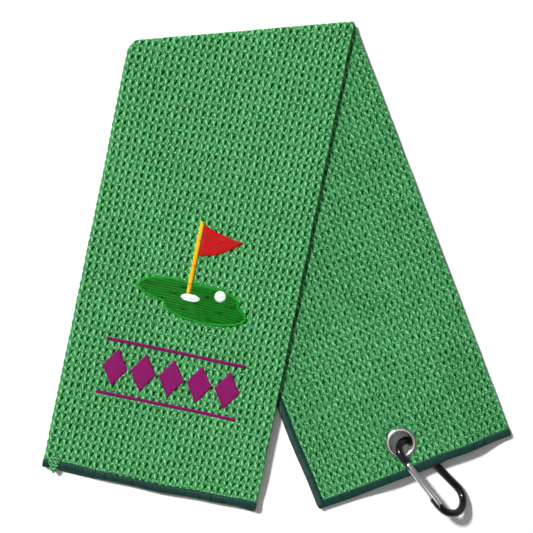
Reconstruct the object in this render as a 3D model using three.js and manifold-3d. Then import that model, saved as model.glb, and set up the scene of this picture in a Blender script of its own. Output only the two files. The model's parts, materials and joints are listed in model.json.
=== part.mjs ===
// Tri-fold golf towel with a grommet and a snap hook, lying folded over on a table.
// Units are millimetres and +Z is up. The origin is under the middle of the whole object.
import * as THREE from 'three';
import { mergeVertices } from 'three/addons/utils/BufferGeometryUtils.js';
import Module from 'manifold-3d';

const wasm = await Module();
wasm.setup();

// ---- Driving dimensions ----------------------------------------------------

// The cloth, cut 610 x 406 and folded in three along its length.
const LAYER = 1.2;
const LAYER_GAP = 0.1;
const PITCH = LAYER + LAYER_GAP;
const THICKNESS = 3 * LAYER + 2 * LAYER_GAP;
const HEM = 5.3;
const STRIP_INSET = 0.25;
const CLEAR = 0.3;
const STRIP_HALF = 70;
const INNER_FLAP_EDGE = 62;
const COLUMN_STEP = 17.25;
const COLUMN_REACH = 3;
const STATIONS = 16;
const FOLD_STEPS = 4;

// The two limbs of the strip, measured from the middle of the crosswise fold. leftTurn is
// where the first fold lies and outerFlap where the outer flap ends, both across the strip.
const FOLD_CENTRE = new THREE.Vector2(-22.4, 153.6);
const FOLD_ANGLE = 4.9;
const FRONT = {
  angle: -101.6, length: 303, halfStart: 70.2, halfEnd: 70.7, leftTurn: -70, outerFlap: -67, flip: true,
};
const BACK = {
  angle: -68.65, length: 307, halfStart: 70, halfEnd: 67.4, leftTurn: -67.4, outerFlap: -69.7, flip: false,
};
const STACK_GAP = 0.3;
const FOLD_AXIS_Z = THICKNESS + STACK_GAP / 2;
const FOLD_INSET = FOLD_AXIS_Z;
const DRAPE_FULL = -18;
const DRAPE_FLOOR = -52;

// The end of the back limb rides up over the hook's spine.
const LIFT = 5.25;
const LIFT_START = 198;
const LIFT_FULL = 250;
const LIFT_LEFT = { flat: -14, floor: -46 };
const LIFT_RIGHT = { flat: 38, floor: 66 };

// Grommet.
const GROMMET = { s: 285.6, t: -1.6, bore: 7, barrel: 0.5, flange: 10, plate: 0.5, grip: 2, gap: 0.2 };

// Snap hook: a pear outline of two arcs and two straights, in its own plane.
const ROD = 2.4;
const NARROW_R = 7.5;
const WIDE_R = 10.8;
const CENTRE_GAP = 38.6;
const HOOK_TILT = 40;
const SPINE_ANGLE = -45;
const SPINE_Z = ROD + 0.05;
const PIVOT_A = 14;
const LATCH_A = 45.4;
const GATE_R = 2.2;
const TAB = 2;
const SLOT = 2.6;
const TAB_END_R = 1.9;
const RIVET_R = 0.8;
const RIVET_HOLE_R = 1;
const SHOULDER = 2.7;
const NOSE_LENGTH = 6.2;
const LATCH_PIN_R = 0.5;

// Embroidery: every motif is a thin pad of thread on the front face.
const THREAD_LIFT = 0.5;
const THREAD = 0.45;
const UPPER_LIFT = THREAD_LIFT + THREAD + 0.35;

const COLOUR = {
  cloth: 0x4b9b5f,
  hem: 0x1e463e,
  nickel: 0xd8dadc,
  black: 0x141416,
  silver: 0xc4c6ca,
  steel: 0x9a9ca0,
  green: 0x157d22,
  red: 0xcd2323,
  yellow: 0xfac319,
  white: 0xf2f2ee,
  purple: 0x91006a,
};

// ---- Small helpers ---------------------------------------------------------

const rad = THREE.MathUtils.degToRad;

function smooth(x) {
  return THREE.MathUtils.smoothstep(x, 0, 1);
}

function direction(angle) {
  return new THREE.Vector2(Math.cos(rad(angle)), Math.sin(rad(angle)));
}

// A point s along a limb and t across it, on the table.
function onLimb(limb, s, t) {
  const along = direction(limb.angle);
  const across = new THREE.Vector2(-along.y, along.x);
  return FOLD_CENTRE.clone().addScaledVector(along, s).addScaledVector(across, t);
}

// Where a limb starts, on a line parallel to the fold.
function startOf(limb, t) {
  const along = direction(limb.angle);
  const across = new THREE.Vector2(-along.y, along.x);
  const fold = direction(FOLD_ANGLE);
  const inward = new THREE.Vector2(fold.y, -fold.x);
  const inset = FOLD_INSET + CLEAR;
  return (inset - t * across.dot(inward)) / along.dot(inward);
}

// Height of the underside of the back limb: nought, but up over the hook near its end.
function backLift(s, t) {
  const rise = smooth((s - LIFT_START) / (LIFT_FULL - LIFT_START));
  const side = t < 0 ? LIFT_LEFT : LIFT_RIGHT;
  const fall = smooth((t - side.flat) / (side.floor - side.flat));
  return LIFT * rise * (1 - fall);
}

// Height of the underside of the front limb: on the back limb, then down to the table.
function frontHeight(s, t) {
  const point = onLimb(FRONT, s, t).sub(FOLD_CENTRE);
  const along = direction(BACK.angle);
  const backS = point.dot(along);
  const backT = point.dot(new THREE.Vector2(-along.y, along.x));
  const onBack = smooth((backT + BACK.halfStart - DRAPE_FLOOR) / (DRAPE_FULL - DRAPE_FLOOR));
  return (THICKNESS + STACK_GAP) * onBack + backLift(backS, backT);
}

function heightOf(limb, s, t) {
  return limb.flip ? frontHeight(s, t) : backLift(s, t);
}

function geometryOf(points, faces) {
  const geometry = new THREE.BufferGeometry();
  geometry.setAttribute('position', new THREE.Float32BufferAttribute(points, 3));
  geometry.setIndex(faces);
  return geometry;
}

function weld(geometry) {
  const bare = geometry.clone();
  bare.deleteAttribute('normal');
  bare.deleteAttribute('uv');
  return mergeVertices(bare, 1e-4);
}

function toSolid(geometry) {
  const bare = weld(geometry);
  const vertProperties = new Float32Array(bare.attributes.position.array);
  const triVerts = new Uint32Array(bare.index.array);
  return new wasm.Manifold(new wasm.Mesh({ numProp: 3, vertProperties, triVerts }));
}

function fromSolid(solid) {
  const mesh = solid.getMesh();
  return geometryOf(Array.from(mesh.vertProperties), Array.from(mesh.triVerts));
}

function cut(geometry, ...cutters) {
  return fromSolid(cutters.reduce((solid, cutter) => solid.subtract(toSolid(cutter)), toSolid(geometry)));
}

function join(geometry, ...others) {
  return fromSolid(others.reduce((solid, other) => solid.add(toSolid(other)), toSolid(geometry)));
}

function mesh(name, geometry, color, roughness = 0.9, metalness = 0) {
  const solid = new THREE.Mesh(geometry, new THREE.MeshStandardMaterial({ color, roughness, metalness }));
  solid.name = name;
  return solid;
}

// ---- Cloth -----------------------------------------------------------------

// Columns at which every layer of a limb has its points, so that the layers bend alike.
function columnsOf(limb) {
  return [
    limb.outerFlap,
    limb.outerFlap + HEM + CLEAR / 2,
    ...Array.from({ length: 2 * COLUMN_REACH + 1 }, (_, i) => (i - COLUMN_REACH) * COLUMN_STEP),
    INNER_FLAP_EDGE - HEM - CLEAR / 2,
    INNER_FLAP_EDGE,
  ];
}

// A straight run of one layer from t0 to t1 at height z.
function run(columns, t0, t1, z) {
  const inside = columns.filter((t) => t > Math.min(t0, t1) + 1 && t < Math.max(t0, t1) - 1);
  const ordered = t1 > t0 ? inside : inside.reverse();
  return [t0, ...ordered, t1].map((t) => new THREE.Vector2(t, z));
}

// The points of a half turn, without its ends.
function halfTurn(t, z, radius, from, steps = FOLD_STEPS) {
  return Array.from({ length: steps - 1 }, (_, i) => {
    const turn = from + ((i + 1) * Math.PI) / steps;
    return new THREE.Vector2(t + radius * Math.cos(turn), z + radius * Math.sin(turn));
  });
}

// The letter fold, seen from its end: inner flap, turn, centre panel, turn, outer flap.
function letterFold(limb, innerEdge, outerEdge) {
  const columns = columnsOf(limb);
  const [low, middle, high] = [0, PITCH, 2 * PITCH].map((z) => z + LAYER / 2);
  const leftR = (middle - low) / 2;
  const rightR = (high - low) / 2;
  const left = limb.leftTurn + leftR + LAYER / 2;
  const right = STRIP_HALF - rightR - LAYER / 2;
  const side = (offset) => [
    ...run(columns, innerEdge, left, middle - offset),
    ...halfTurn(left, low + leftR, leftR - offset, Math.PI / 2),
    ...run(columns, left, right, low + offset),
    ...halfTurn(right, low + rightR, rightR - offset, -Math.PI / 2),
    ...run(columns, right, outerEdge, high - offset),
  ];
  return [...side(LAYER / 2), ...side(-LAYER / 2).reverse()];
}

function flatStrip(edge, far, layer) {
  const low = layer * PITCH + STRIP_INSET;
  const high = low + LAYER - 2 * STRIP_INSET;
  return [[edge, low], [far, low], [far, high], [edge, high]].map((p) => new THREE.Vector2(...p));
}

// Carry a section along a limb, from one distance to another, over what it lies on.
function alongLimb(limb, outline, from, to, stations) {
  const section = outline.map((p) => new THREE.Vector2(p.x, limb.flip ? THICKNESS - p.y : p.y));
  if (THREE.ShapeUtils.area(section) < 0) section.reverse();
  const points = [];
  for (let k = 0; k <= stations; k += 1) {
    for (const { x: across, y: up } of section) {
      const s = THREE.MathUtils.lerp(from(across), to, k / stations);
      const half = THREE.MathUtils.lerp(limb.halfStart, limb.halfEnd, s / limb.length);
      const t = (across * half) / STRIP_HALF;
      const place = onLimb(limb, s, t);
      points.push(place.x, place.y, up + heightOf(limb, s, t));
    }
  }
  const count = section.length;
  const faces = [];
  for (let k = 0; k < stations; k += 1) {
    for (let i = 0; i < count; i += 1) {
      const [a, b] = [k * count + i, k * count + ((i + 1) % count)];
      faces.push(a, b, a + count, b, b + count, a + count);
    }
  }
  // Both ends are closed across the cloth: point i of one face meets its partner on the other.
  const last = stations * count;
  for (let i = 0; i < count / 2 - 1; i += 1) {
    const [a, b, c, d] = [i, i + 1, count - 2 - i, count - 1 - i];
    faces.push(a, c, b, a, d, c);
    faces.push(last + a, last + b, last + c, last + a, last + c, last + d);
  }
  return geometryOf(points, faces);
}

function clothOf(limb) {
  const outline = letterFold(limb, INNER_FLAP_EDGE - HEM - CLEAR, limb.outerFlap + HEM + CLEAR);
  const end = limb.length - HEM - CLEAR;
  return alongLimb(limb, outline, (t) => startOf(limb, t), end, STATIONS);
}

function endHemOf(limb) {
  const outline = letterFold(limb, INNER_FLAP_EDGE, limb.outerFlap);
  return alongLimb(limb, outline, () => limb.length - HEM, limb.length, 1);
}

function sideHemOf(limb, edge, inward, layer) {
  const outline = flatStrip(edge, edge + inward * HEM, layer);
  const end = limb.length - HEM - CLEAR;
  return alongLimb(limb, outline, (t) => startOf(limb, t), end, STATIONS);
}

// One layer of the crosswise fold: a half ring that joins the two limbs.
function foldBend(layer) {
  const inner = STACK_GAP / 2 + layer * PITCH;
  const ring = new THREE.Shape();
  ring.absarc(0, 0, inner + LAYER, -Math.PI / 2, Math.PI / 2, false);
  ring.absarc(0, 0, inner, Math.PI / 2, -Math.PI / 2, true);
  const width = (2 * STRIP_HALF - 3) / Math.cos(rad((BACK.angle - FRONT.angle) / 2));
  const bend = new THREE.ExtrudeGeometry(ring, { depth: width, bevelEnabled: false, curveSegments: 8 });
  bend.translate(0, 0, -width / 2);
  const fold = direction(FOLD_ANGLE);
  const out = new THREE.Vector3(-fold.y, fold.x, 0);
  const axis = new THREE.Vector3(fold.x, fold.y, 0);
  const turn = new THREE.Matrix4().makeBasis(out, new THREE.Vector3(0, 0, 1), axis);
  const place = new THREE.Vector3(FOLD_CENTRE.x, FOLD_CENTRE.y, FOLD_AXIS_Z).addScaledVector(out, -FOLD_INSET);
  return bend.applyMatrix4(turn.setPosition(place));
}

// ---- Grommet ---------------------------------------------------------------

const grommetPlace = onLimb(BACK, GROMMET.s, GROMMET.t);
const grommetZ = LIFT + THICKNESS / 2;

function lathe(profile, segments = 32) {
  const points = profile.map(([r, z]) => new THREE.Vector2(r, z));
  const ring = new THREE.LatheGeometry([...points, points[0]], segments);
  return ring.rotateX(Math.PI / 2).translate(grommetPlace.x, grommetPlace.y, grommetZ);
}

function drum(radius, low, high) {
  return new THREE.CylinderGeometry(radius, radius, high - low, 40)
    .rotateX(Math.PI / 2)
    .translate(grommetPlace.x, grommetPlace.y, grommetZ + (low + high) / 2);
}

// The cloth is squeezed between the two flanges.
function pierced(cloth) {
  const { bore, barrel, flange, grip } = GROMMET;
  const deep = THICKNESS;
  return cut(
    cloth,
    drum(bore + barrel + CLEAR, -deep, deep),
    drum(flange + CLEAR, grip / 2, deep),
    drum(flange + CLEAR, -deep, -grip / 2),
  );
}

function eyelet() {
  const { bore, barrel, flange, plate, grip, gap } = GROMMET;
  const under = grip / 2 + gap;
  const foot = -under - plate;
  return lathe([
    [bore, foot],
    [bore + barrel, foot],
    [bore + barrel, under],
    [flange - 0.4, under],
    [flange, under + 0.1],
    [flange - 0.6, under + plate * 0.9],
    [bore + 1.4, under + plate],
    [bore, under + plate * 0.7],
  ]);
}

function washer() {
  const { bore, barrel, flange, plate, grip, gap } = GROMMET;
  const top = -grip / 2 - gap;
  const inner = bore + barrel + 0.15;
  return lathe([
    [inner, top - plate],
    [flange - 0.5, top - plate],
    [flange, top - 0.15],
    [flange - 0.3, top],
    [inner, top],
  ]);
}

// ---- Snap hook -------------------------------------------------------------

// The hook's own plane: a runs along the gate, c from the gate line to the spine.
const lean = 2 * Math.asin((WIDE_R - NARROW_R) / Math.hypot(CENTRE_GAP, WIDE_R - NARROW_R));
const narrowCentre = new THREE.Vector2(NARROW_R, NARROW_R);
const wideCentre = new THREE.Vector2(NARROW_R + CENTRE_GAP, WIDE_R);

// Where the rod's centre line passes through the grommet: this far above the spine, along the tilt.
const crossing = (grommetZ - SPINE_Z) / Math.sin(rad(HOOK_TILT));
const crossingBack = Math.sqrt(NARROW_R ** 2 - (crossing - NARROW_R) ** 2);

// From the hook's plane to the table: level along the spine, tilted up to the gate.
function hookPlacement() {
  const spine = direction(SPINE_ANGLE);
  const alongSpine = new THREE.Vector3(spine.x, spine.y, 0);
  const aside = new THREE.Vector3(spine.y, -spine.x, 0).multiplyScalar(Math.cos(rad(HOOK_TILT)));
  const toGate = aside.add(new THREE.Vector3(0, 0, Math.sin(rad(HOOK_TILT))));
  const a = alongSpine.clone().multiplyScalar(Math.cos(lean)).addScaledVector(toGate, Math.sin(lean));
  const c = alongSpine.clone().multiplyScalar(Math.sin(lean)).addScaledVector(toGate, -Math.cos(lean));
  const n = new THREE.Vector3().crossVectors(a, c);
  const ring = new THREE.Vector3(grommetPlace.x, grommetPlace.y, grommetZ);
  const centre = ring.addScaledVector(alongSpine, crossingBack).addScaledVector(toGate, NARROW_R - crossing);
  const origin = centre.addScaledVector(a, -narrowCentre.x).addScaledVector(c, -narrowCentre.y);
  return new THREE.Matrix4().makeBasis(a, c, n).setPosition(origin);
}

// Centre line of the rod: hinge shoulder, narrow end, spine, wide end, latch shoulder.
class HookLine extends THREE.CurvePath {
  constructor() {
    super();
    const turn = Math.PI / 2 + lean;
    const at = (centre, radius, angle) =>
      new THREE.Vector3(centre.x + radius * Math.cos(angle), centre.y + radius * Math.sin(angle), 0);
    const arc = (centre, radius, from, to) => {
      const line = new THREE.Curve();
      line.getPoint = (u) => at(centre, radius, THREE.MathUtils.lerp(from, to, u));
      return line;
    };
    const hinge = new THREE.Vector3(PIVOT_A - SHOULDER, 0, 0);
    const latch = new THREE.Vector3(LATCH_A + CLEAR, 0, 0);
    const narrowStart = at(narrowCentre, NARROW_R, -Math.PI / 2);
    const wideEnd = at(wideCentre, WIDE_R, -Math.PI / 2);
    this.add(new THREE.LineCurve3(hinge, narrowStart));
    this.add(arc(narrowCentre, NARROW_R, -Math.PI / 2, -2 * Math.PI + turn));
    this.add(new THREE.LineCurve3(at(narrowCentre, NARROW_R, turn), at(wideCentre, WIDE_R, turn)));
    this.add(arc(wideCentre, WIDE_R, turn, -Math.PI / 2));
    this.add(new THREE.LineCurve3(wideEnd, latch));
  }
}

function block(a0, a1, c0, c1, thick) {
  return new THREE.BoxGeometry(a1 - a0, c1 - c0, thick).translate((a0 + a1) / 2, (c0 + c1) / 2, 0);
}

function pin(a, c, radius, length, sides = 20) {
  return new THREE.CylinderGeometry(radius, radius, length, sides).rotateX(Math.PI / 2).translate(a, c, 0);
}

function hookBody() {
  const round = new THREE.Shape().absarc(0, 0, ROD, 0, 2 * Math.PI, false);
  const rod = new THREE.ExtrudeGeometry(round, { steps: 64, curveSegments: 6, extrudePath: new HookLine() });
  const tab = block(PIVOT_A - SHOULDER - 1, PIVOT_A, -TAB_END_R, TAB_END_R, TAB);
  const nose = block(LATCH_A - NOSE_LENGTH, LATCH_A + 1.3, -GATE_R, 0.3, TAB);
  const whole = join(rod, tab, pin(PIVOT_A, 0, TAB_END_R, TAB), nose);
  return cut(whole, pin(PIVOT_A, 0, RIVET_HOLE_R, 4 * TAB));
}

function gateArm() {
  const start = PIVOT_A;
  const length = LATCH_A - start;
  const arm = new THREE.CylinderGeometry(GATE_R, GATE_R, length, 24).rotateZ(Math.PI / 2);
  arm.translate(start + length / 2, 0, 0);
  const heel = new THREE.SphereGeometry(GATE_R, 24, 12).translate(start, 0, 0);
  const hingeSlot = block(start - 3, start + TAB_END_R + 0.6, -3, 3, SLOT);
  const latchSlot = block(LATCH_A - NOSE_LENGTH - 0.8, LATCH_A + 1, -3, 3, SLOT);
  const bore = new THREE.CylinderGeometry(1.35, 1.35, 11, 16).rotateZ(Math.PI / 2);
  bore.translate(start + TAB_END_R + 5.6, 0, 0);
  const latchPinPlace = [LATCH_A - 2.2, 1.25];
  return cut(
    join(arm, heel),
    hingeSlot,
    latchSlot,
    bore,
    pin(start, 0, RIVET_HOLE_R, 8),
    pin(...latchPinPlace, LATCH_PIN_R + 0.15, 8),
  );
}

function rivet() {
  const spin = [[0, -2.45], [1.2, -2.45], [1.5, -2.2], [RIVET_R, -2.2 + 0.05]];
  const profile = [...spin, ...spin.map(([r, z]) => [r, -z]).reverse()];
  const points = profile.map(([r, z]) => new THREE.Vector2(r, z));
  return new THREE.LatheGeometry(points, 20).rotateX(Math.PI / 2).translate(PIVOT_A, 0, 0);
}

function latchPin() {
  return pin(LATCH_A - 2.2, 1.25, LATCH_PIN_R, 3.4, 16);
}

const SPRING = { start: PIVOT_A + 5.4, length: 7.4, radius: 0.85, wire: 0.22, turns: 6 };

class SpringLine extends THREE.Curve {
  getPoint(u) {
    const turn = 2 * Math.PI * SPRING.turns * u;
    const { start, length, radius } = SPRING;
    return new THREE.Vector3(start + length * u, radius * Math.cos(turn), radius * Math.sin(turn));
  }
}

function gateSpring() {
  const wire = new THREE.Shape().absarc(0, 0, SPRING.wire, 0, 2 * Math.PI, false);
  const steps = SPRING.turns * 10;
  return new THREE.ExtrudeGeometry(wire, { steps, curveSegments: 3, extrudePath: new SpringLine() });
}

function plunger() {
  const start = PIVOT_A + TAB_END_R + 0.2;
  const profile = [[0, 0], [0.7, 0.15], [1.1, 0.7], [1.1, 2.4], [0, 2.4]];
  const points = profile.map(([r, z]) => new THREE.Vector2(r, z));
  return new THREE.LatheGeometry(points, 16).rotateZ(-Math.PI / 2).translate(start, 0, 0);
}

// ---- Embroidery ------------------------------------------------------------

// A thin pad over a star-shaped outline of (s, t) points, in rings out from its middle.
function pad(outline, lift, rings) {
  const middle = outline.reduce((sum, p) => sum.add(p), new THREE.Vector2()).divideScalar(outline.length);
  const count = outline.length;
  const points = [];
  for (const up of [lift, lift + THREAD]) {
    for (let ring = 0; ring <= rings; ring += 1) {
      for (const corner of ring === 0 ? [middle] : outline) {
        const { x: s, y: t } = middle.clone().lerp(corner, ring / rings);
        const place = onLimb(FRONT, s, t);
        points.push(place.x, place.y, THICKNESS + frontHeight(s, t) + up);
      }
    }
  }
  const sheet = 1 + rings * count;
  const at = (side, ring, i) => side * sheet + (ring === 0 ? 0 : 1 + (ring - 1) * count + (i % count));
  const faces = [];
  for (let i = 0; i < count; i += 1) {
    for (const side of [0, 1]) {
      const turn = (a, b, c) => faces.push(...(side ? [a, b, c] : [a, c, b]));
      turn(at(side, 0, 0), at(side, 1, i), at(side, 1, i + 1));
      for (let ring = 1; ring < rings; ring += 1) {
        const [a, b] = [at(side, ring, i), at(side, ring, i + 1)];
        const [c, d] = [at(side, ring + 1, i), at(side, ring + 1, i + 1)];
        turn(a, c, b);
        turn(b, c, d);
      }
    }
    const [a, b] = [at(0, rings, i), at(0, rings, i + 1)];
    faces.push(a, b, a + sheet, b, b + sheet, a + sheet);
  }
  return geometryOf(points, faces);
}

function ellipse(s, t, halfS, halfT, count = 16) {
  return Array.from({ length: count }, (_, i) => {
    const turn = (2 * Math.PI * i) / count;
    return new THREE.Vector2(s + halfS * Math.cos(turn), t + halfT * Math.sin(turn));
  });
}

// A straight band of thread between two (s, t) points, stepped so that it follows the cloth.
function band(from, to, half, lift, steps = 10) {
  const [start, end] = [new THREE.Vector2(...from), new THREE.Vector2(...to)];
  const ahead = end.clone().sub(start).normalize();
  const aside = new THREE.Vector2(-ahead.y, ahead.x);
  const corners = [[-half, lift], [half, lift], [half, lift + THREAD], [-half, lift + THREAD]];
  const points = [];
  for (let k = 0; k <= steps; k += 1) {
    for (const [off, up] of corners) {
      const { x: s, y: t } = start.clone().lerp(end, k / steps).addScaledVector(aside, off);
      const place = onLimb(FRONT, s, t);
      points.push(place.x, place.y, THICKNESS + frontHeight(s, t) + up);
    }
  }
  const faces = [0, 2, 1, 0, 3, 2];
  for (let k = 0; k < 4 * steps; k += 1) {
    const next = k % 4 === 3 ? k - 3 : k + 1;
    faces.push(k, next, k + 4, next, next + 4, k + 4);
  }
  const last = 4 * steps;
  faces.push(last, last + 1, last + 2, last, last + 2, last + 3);
  return geometryOf(points, faces);
}

// A kidney-shaped putting green: an ellipse whose rim swells and dips twice on the way round.
function puttingGreen() {
  return Array.from({ length: 28 }, (_, i) => {
    const turn = (2 * Math.PI * i) / 28;
    const rim = 1 + 0.1 * Math.cos(2 * turn + 0.9) - 0.07 * Math.sin(3 * turn);
    return new THREE.Vector2(178 + 13.2 * rim * Math.cos(turn), 3.2 + 34 * rim * Math.sin(turn));
  });
}

function flag() {
  const [high, low, tip] = [[127.9, 2.4], [148.4, 2.4], [134.6, 28.5]].map((p) => new THREE.Vector2(...p));
  const edge = (a, b, bow) => {
    const steps = 6;
    const middle = a.clone().lerp(b, 0.5).add(bow);
    return new THREE.QuadraticBezierCurve(a, middle, b).getPoints(steps).slice(0, steps);
  };
  const top = edge(tip, high, new THREE.Vector2(2.2, 0));
  const foot = edge(low, tip, new THREE.Vector2(2.4, 0));
  return [...foot, ...top, high, high.clone().lerp(low, 0.5)];
}

function lozenge(s, t, halfS, halfT) {
  const tips = [[s + halfS, t], [s, t + halfT], [s - halfS, t], [s, t - halfT]];
  const corners = tips.map((p) => new THREE.Vector2(...p));
  return corners.flatMap((corner, i) => [corner, corner.clone().lerp(corners[(i + 1) % 4], 0.5)]);
}

// ---- The whole towel -------------------------------------------------------

// The outline of a pad runs anticlockwise seen from above, whichever way it was drawn.
function motif(name, outline, lift, color, rings = 2) {
  const turned = THREE.ShapeUtils.area(outline.map((p) => onLimb(FRONT, p.x, p.y))) < 0;
  const ordered = turned ? [...outline].reverse() : outline;
  return mesh(name, pad(ordered, lift, rings), color, 0.6);
}

const towel = new THREE.Group();

towel.add(
  mesh('towel_back_half', pierced(clothOf(BACK)), COLOUR.cloth),
  mesh('back_end_hem', endHemOf(BACK), COLOUR.hem),
  mesh('back_outer_flap_hem', sideHemOf(BACK, BACK.outerFlap, 1, 2), COLOUR.hem),
  mesh('back_inner_flap_hem', sideHemOf(BACK, INNER_FLAP_EDGE, -1, 1), COLOUR.hem),
  mesh('grommet_eyelet', eyelet(), COLOUR.nickel, 0.15, 1),
  mesh('grommet_washer', washer(), COLOUR.nickel, 0.2, 1),
  mesh('fold_bend_inner', foldBend(0), COLOUR.cloth),
  mesh('fold_bend_middle', foldBend(1), COLOUR.cloth),
  mesh('fold_bend_outer', foldBend(2), COLOUR.cloth),
  mesh('towel_front_half', clothOf(FRONT), COLOUR.cloth),
  mesh('front_end_hem', endHemOf(FRONT), COLOUR.hem),
  mesh('front_outer_flap_hem', sideHemOf(FRONT, FRONT.outerFlap, 1, 2), COLOUR.hem),
  mesh('front_inner_flap_hem', sideHemOf(FRONT, INNER_FLAP_EDGE, -1, 1), COLOUR.hem),
);

towel.add(
  motif('embroidered_green', puttingGreen(), THREAD_LIFT, COLOUR.green, 3),
  motif('embroidered_cup', ellipse(176, 1.9, 2.6, 6.6), UPPER_LIFT, COLOUR.white),
  motif('embroidered_ball', ellipse(171.4, 20.6, 3.8, 3.8), UPPER_LIFT, COLOUR.white),
  mesh('embroidered_pole', band([126, 0], [172.6, 0], 1.4, UPPER_LIFT), COLOUR.yellow, 0.6),
  motif('embroidered_flag', flag(), UPPER_LIFT, COLOUR.red),
);

// A row of lozenges between two bars.
const MOTIF = { s: 230, count: 5, pitch: 18.4, halfS: 12.5, halfT: 8.4, barHalf: 46, barOff: 17.5 };
for (let i = 0; i < MOTIF.count; i += 1) {
  const t = (i - (MOTIF.count - 1) / 2) * MOTIF.pitch;
  const outline = lozenge(MOTIF.s, t, MOTIF.halfS, MOTIF.halfT);
  towel.add(motif(`lozenge_${i + 1}`, outline, THREAD_LIFT, COLOUR.purple));
}
for (const [name, side] of [['motif_bar_upper', -1], ['motif_bar_lower', 1]]) {
  const s = MOTIF.s + side * MOTIF.barOff;
  towel.add(mesh(name, band([s, -MOTIF.barHalf], [s, MOTIF.barHalf], 1, THREAD_LIFT), COLOUR.purple, 0.6));
}

const hook = new THREE.Group();
hook.applyMatrix4(hookPlacement());
hook.add(
  mesh('hook_body', hookBody(), COLOUR.black, 0.25, 0.8),
  mesh('hook_gate', gateArm(), COLOUR.silver, 0.35, 1),
  mesh('gate_rivet', rivet(), COLOUR.steel, 0.3, 1),
  mesh('gate_latch_pin', latchPin(), COLOUR.steel, 0.3, 1),
  mesh('gate_spring', gateSpring(), COLOUR.steel, 0.35, 1),
  mesh('gate_plunger', plunger(), COLOUR.steel, 0.35, 1),
);
towel.add(hook);

// Set the origin under the middle of the whole.
const box = new THREE.Box3().setFromObject(towel, true);
const middle = box.getCenter(new THREE.Vector3());
towel.position.set(-middle.x, -middle.y, -box.min.z);

const group = new THREE.Group();
group.add(towel);

export default group;
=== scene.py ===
"""Looks of a tri-fold golf towel: knitted cloth, hems, embroidery, a nickel grommet and a snap hook.

The strip of cloth is folded in three along its length, folded over once crosswise, and lies on a floor with
one half fanned out over the other. Lengths are in millimetres until a mesh is made, and in metres after it.
"""

import json
import logging
import math
from collections.abc import Callable
from dataclasses import dataclass, field
from enum import Enum

import bpy
import numpy as np
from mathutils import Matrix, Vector


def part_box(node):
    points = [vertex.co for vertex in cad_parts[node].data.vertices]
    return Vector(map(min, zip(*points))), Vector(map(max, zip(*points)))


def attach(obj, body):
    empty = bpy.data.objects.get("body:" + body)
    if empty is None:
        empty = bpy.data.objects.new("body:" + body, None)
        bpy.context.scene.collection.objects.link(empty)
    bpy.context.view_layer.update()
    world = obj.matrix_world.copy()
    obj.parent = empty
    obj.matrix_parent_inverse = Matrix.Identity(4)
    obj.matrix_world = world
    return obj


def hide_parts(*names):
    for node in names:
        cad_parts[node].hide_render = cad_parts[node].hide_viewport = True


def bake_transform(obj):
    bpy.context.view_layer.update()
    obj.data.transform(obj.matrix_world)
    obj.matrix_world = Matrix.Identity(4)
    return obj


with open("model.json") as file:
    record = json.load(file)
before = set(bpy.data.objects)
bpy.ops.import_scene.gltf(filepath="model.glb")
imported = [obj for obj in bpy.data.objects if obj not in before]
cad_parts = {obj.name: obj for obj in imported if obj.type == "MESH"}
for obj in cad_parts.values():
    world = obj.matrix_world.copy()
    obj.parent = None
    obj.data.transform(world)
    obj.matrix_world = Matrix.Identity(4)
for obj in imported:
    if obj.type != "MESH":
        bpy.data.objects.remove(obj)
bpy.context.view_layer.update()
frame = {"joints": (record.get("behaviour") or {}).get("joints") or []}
LOG = logging.getLogger("golf_towel")
MM = 0.001
TAU = 2 * math.pi


def joint(name: str) -> dict:
    """The joint of that name, as the frame gives it."""
    return next(j for j in frame["joints"] if j["name"] == name)


def middle_of(node: str) -> np.ndarray:
    """The middle of a CAD node's box, in millimetres."""
    low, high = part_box(node)
    return (np.array(low) + np.array(high)) / (2 * MM)


def smooth(x: np.ndarray) -> np.ndarray:
    """An S from 0 to 1: three times x squared less twice x cubed, held at its ends."""
    x = np.clip(x, 0.0, 1.0)
    return x * x * (3 - 2 * x)


def unit(angle: float) -> np.ndarray:
    """The level direction at an angle in degrees."""
    return np.array([math.cos(math.radians(angle)), math.sin(math.radians(angle))])


def table(*columns: np.ndarray) -> np.ndarray:
    """Arrays that broadcast together, side by side along a new last axis."""
    return np.stack(np.broadcast_arrays(*columns), axis=-1)


def round_end(left: np.ndarray, least: float) -> np.ndarray:
    """A quarter circle's height: the root of 1 less (1 less left) squared, for left from least to 1."""
    return np.sqrt(np.clip(1 - (1 - np.clip(left, least, 1)) ** 2, 0, 1))[:, None]


def along_line(line: np.ndarray, closed: bool = False) -> tuple[np.ndarray, np.ndarray]:
    """How far along a level line each of its points is, and the unit direction to its left there.

    Args:
        line: points along it.
        closed: whether it is a loop.

    Returns:
        The distances, and the directions.
    """
    far = np.concatenate([[0], np.cumsum(np.linalg.norm(np.diff(line, axis=0), axis=1))])
    ahead = np.roll(line, -1, 0) - np.roll(line, 1, 0) if closed else np.gradient(line, axis=0)
    ahead = ahead / np.linalg.norm(ahead, axis=1, keepdims=True)
    return far, table(-ahead[:, 1], ahead[:, 0])


# ---- Meshes --------------------------------------------------------------------------------------


def new_object(name: str, data: bpy.types.ID) -> bpy.types.Object:
    """A new object with that data, linked to the scene."""
    made = bpy.data.objects.new(name, data)
    bpy.context.scene.collection.objects.link(made)
    return made


def quads(grid: np.ndarray) -> np.ndarray:
    """The quads between the neighbours in a 2-D array of vertex numbers."""
    corners = [grid[:-1, :-1], grid[:-1, 1:], grid[1:, 1:], grid[1:, :-1]]
    return np.stack(corners, axis=-1).reshape(-1, 4)


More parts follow.
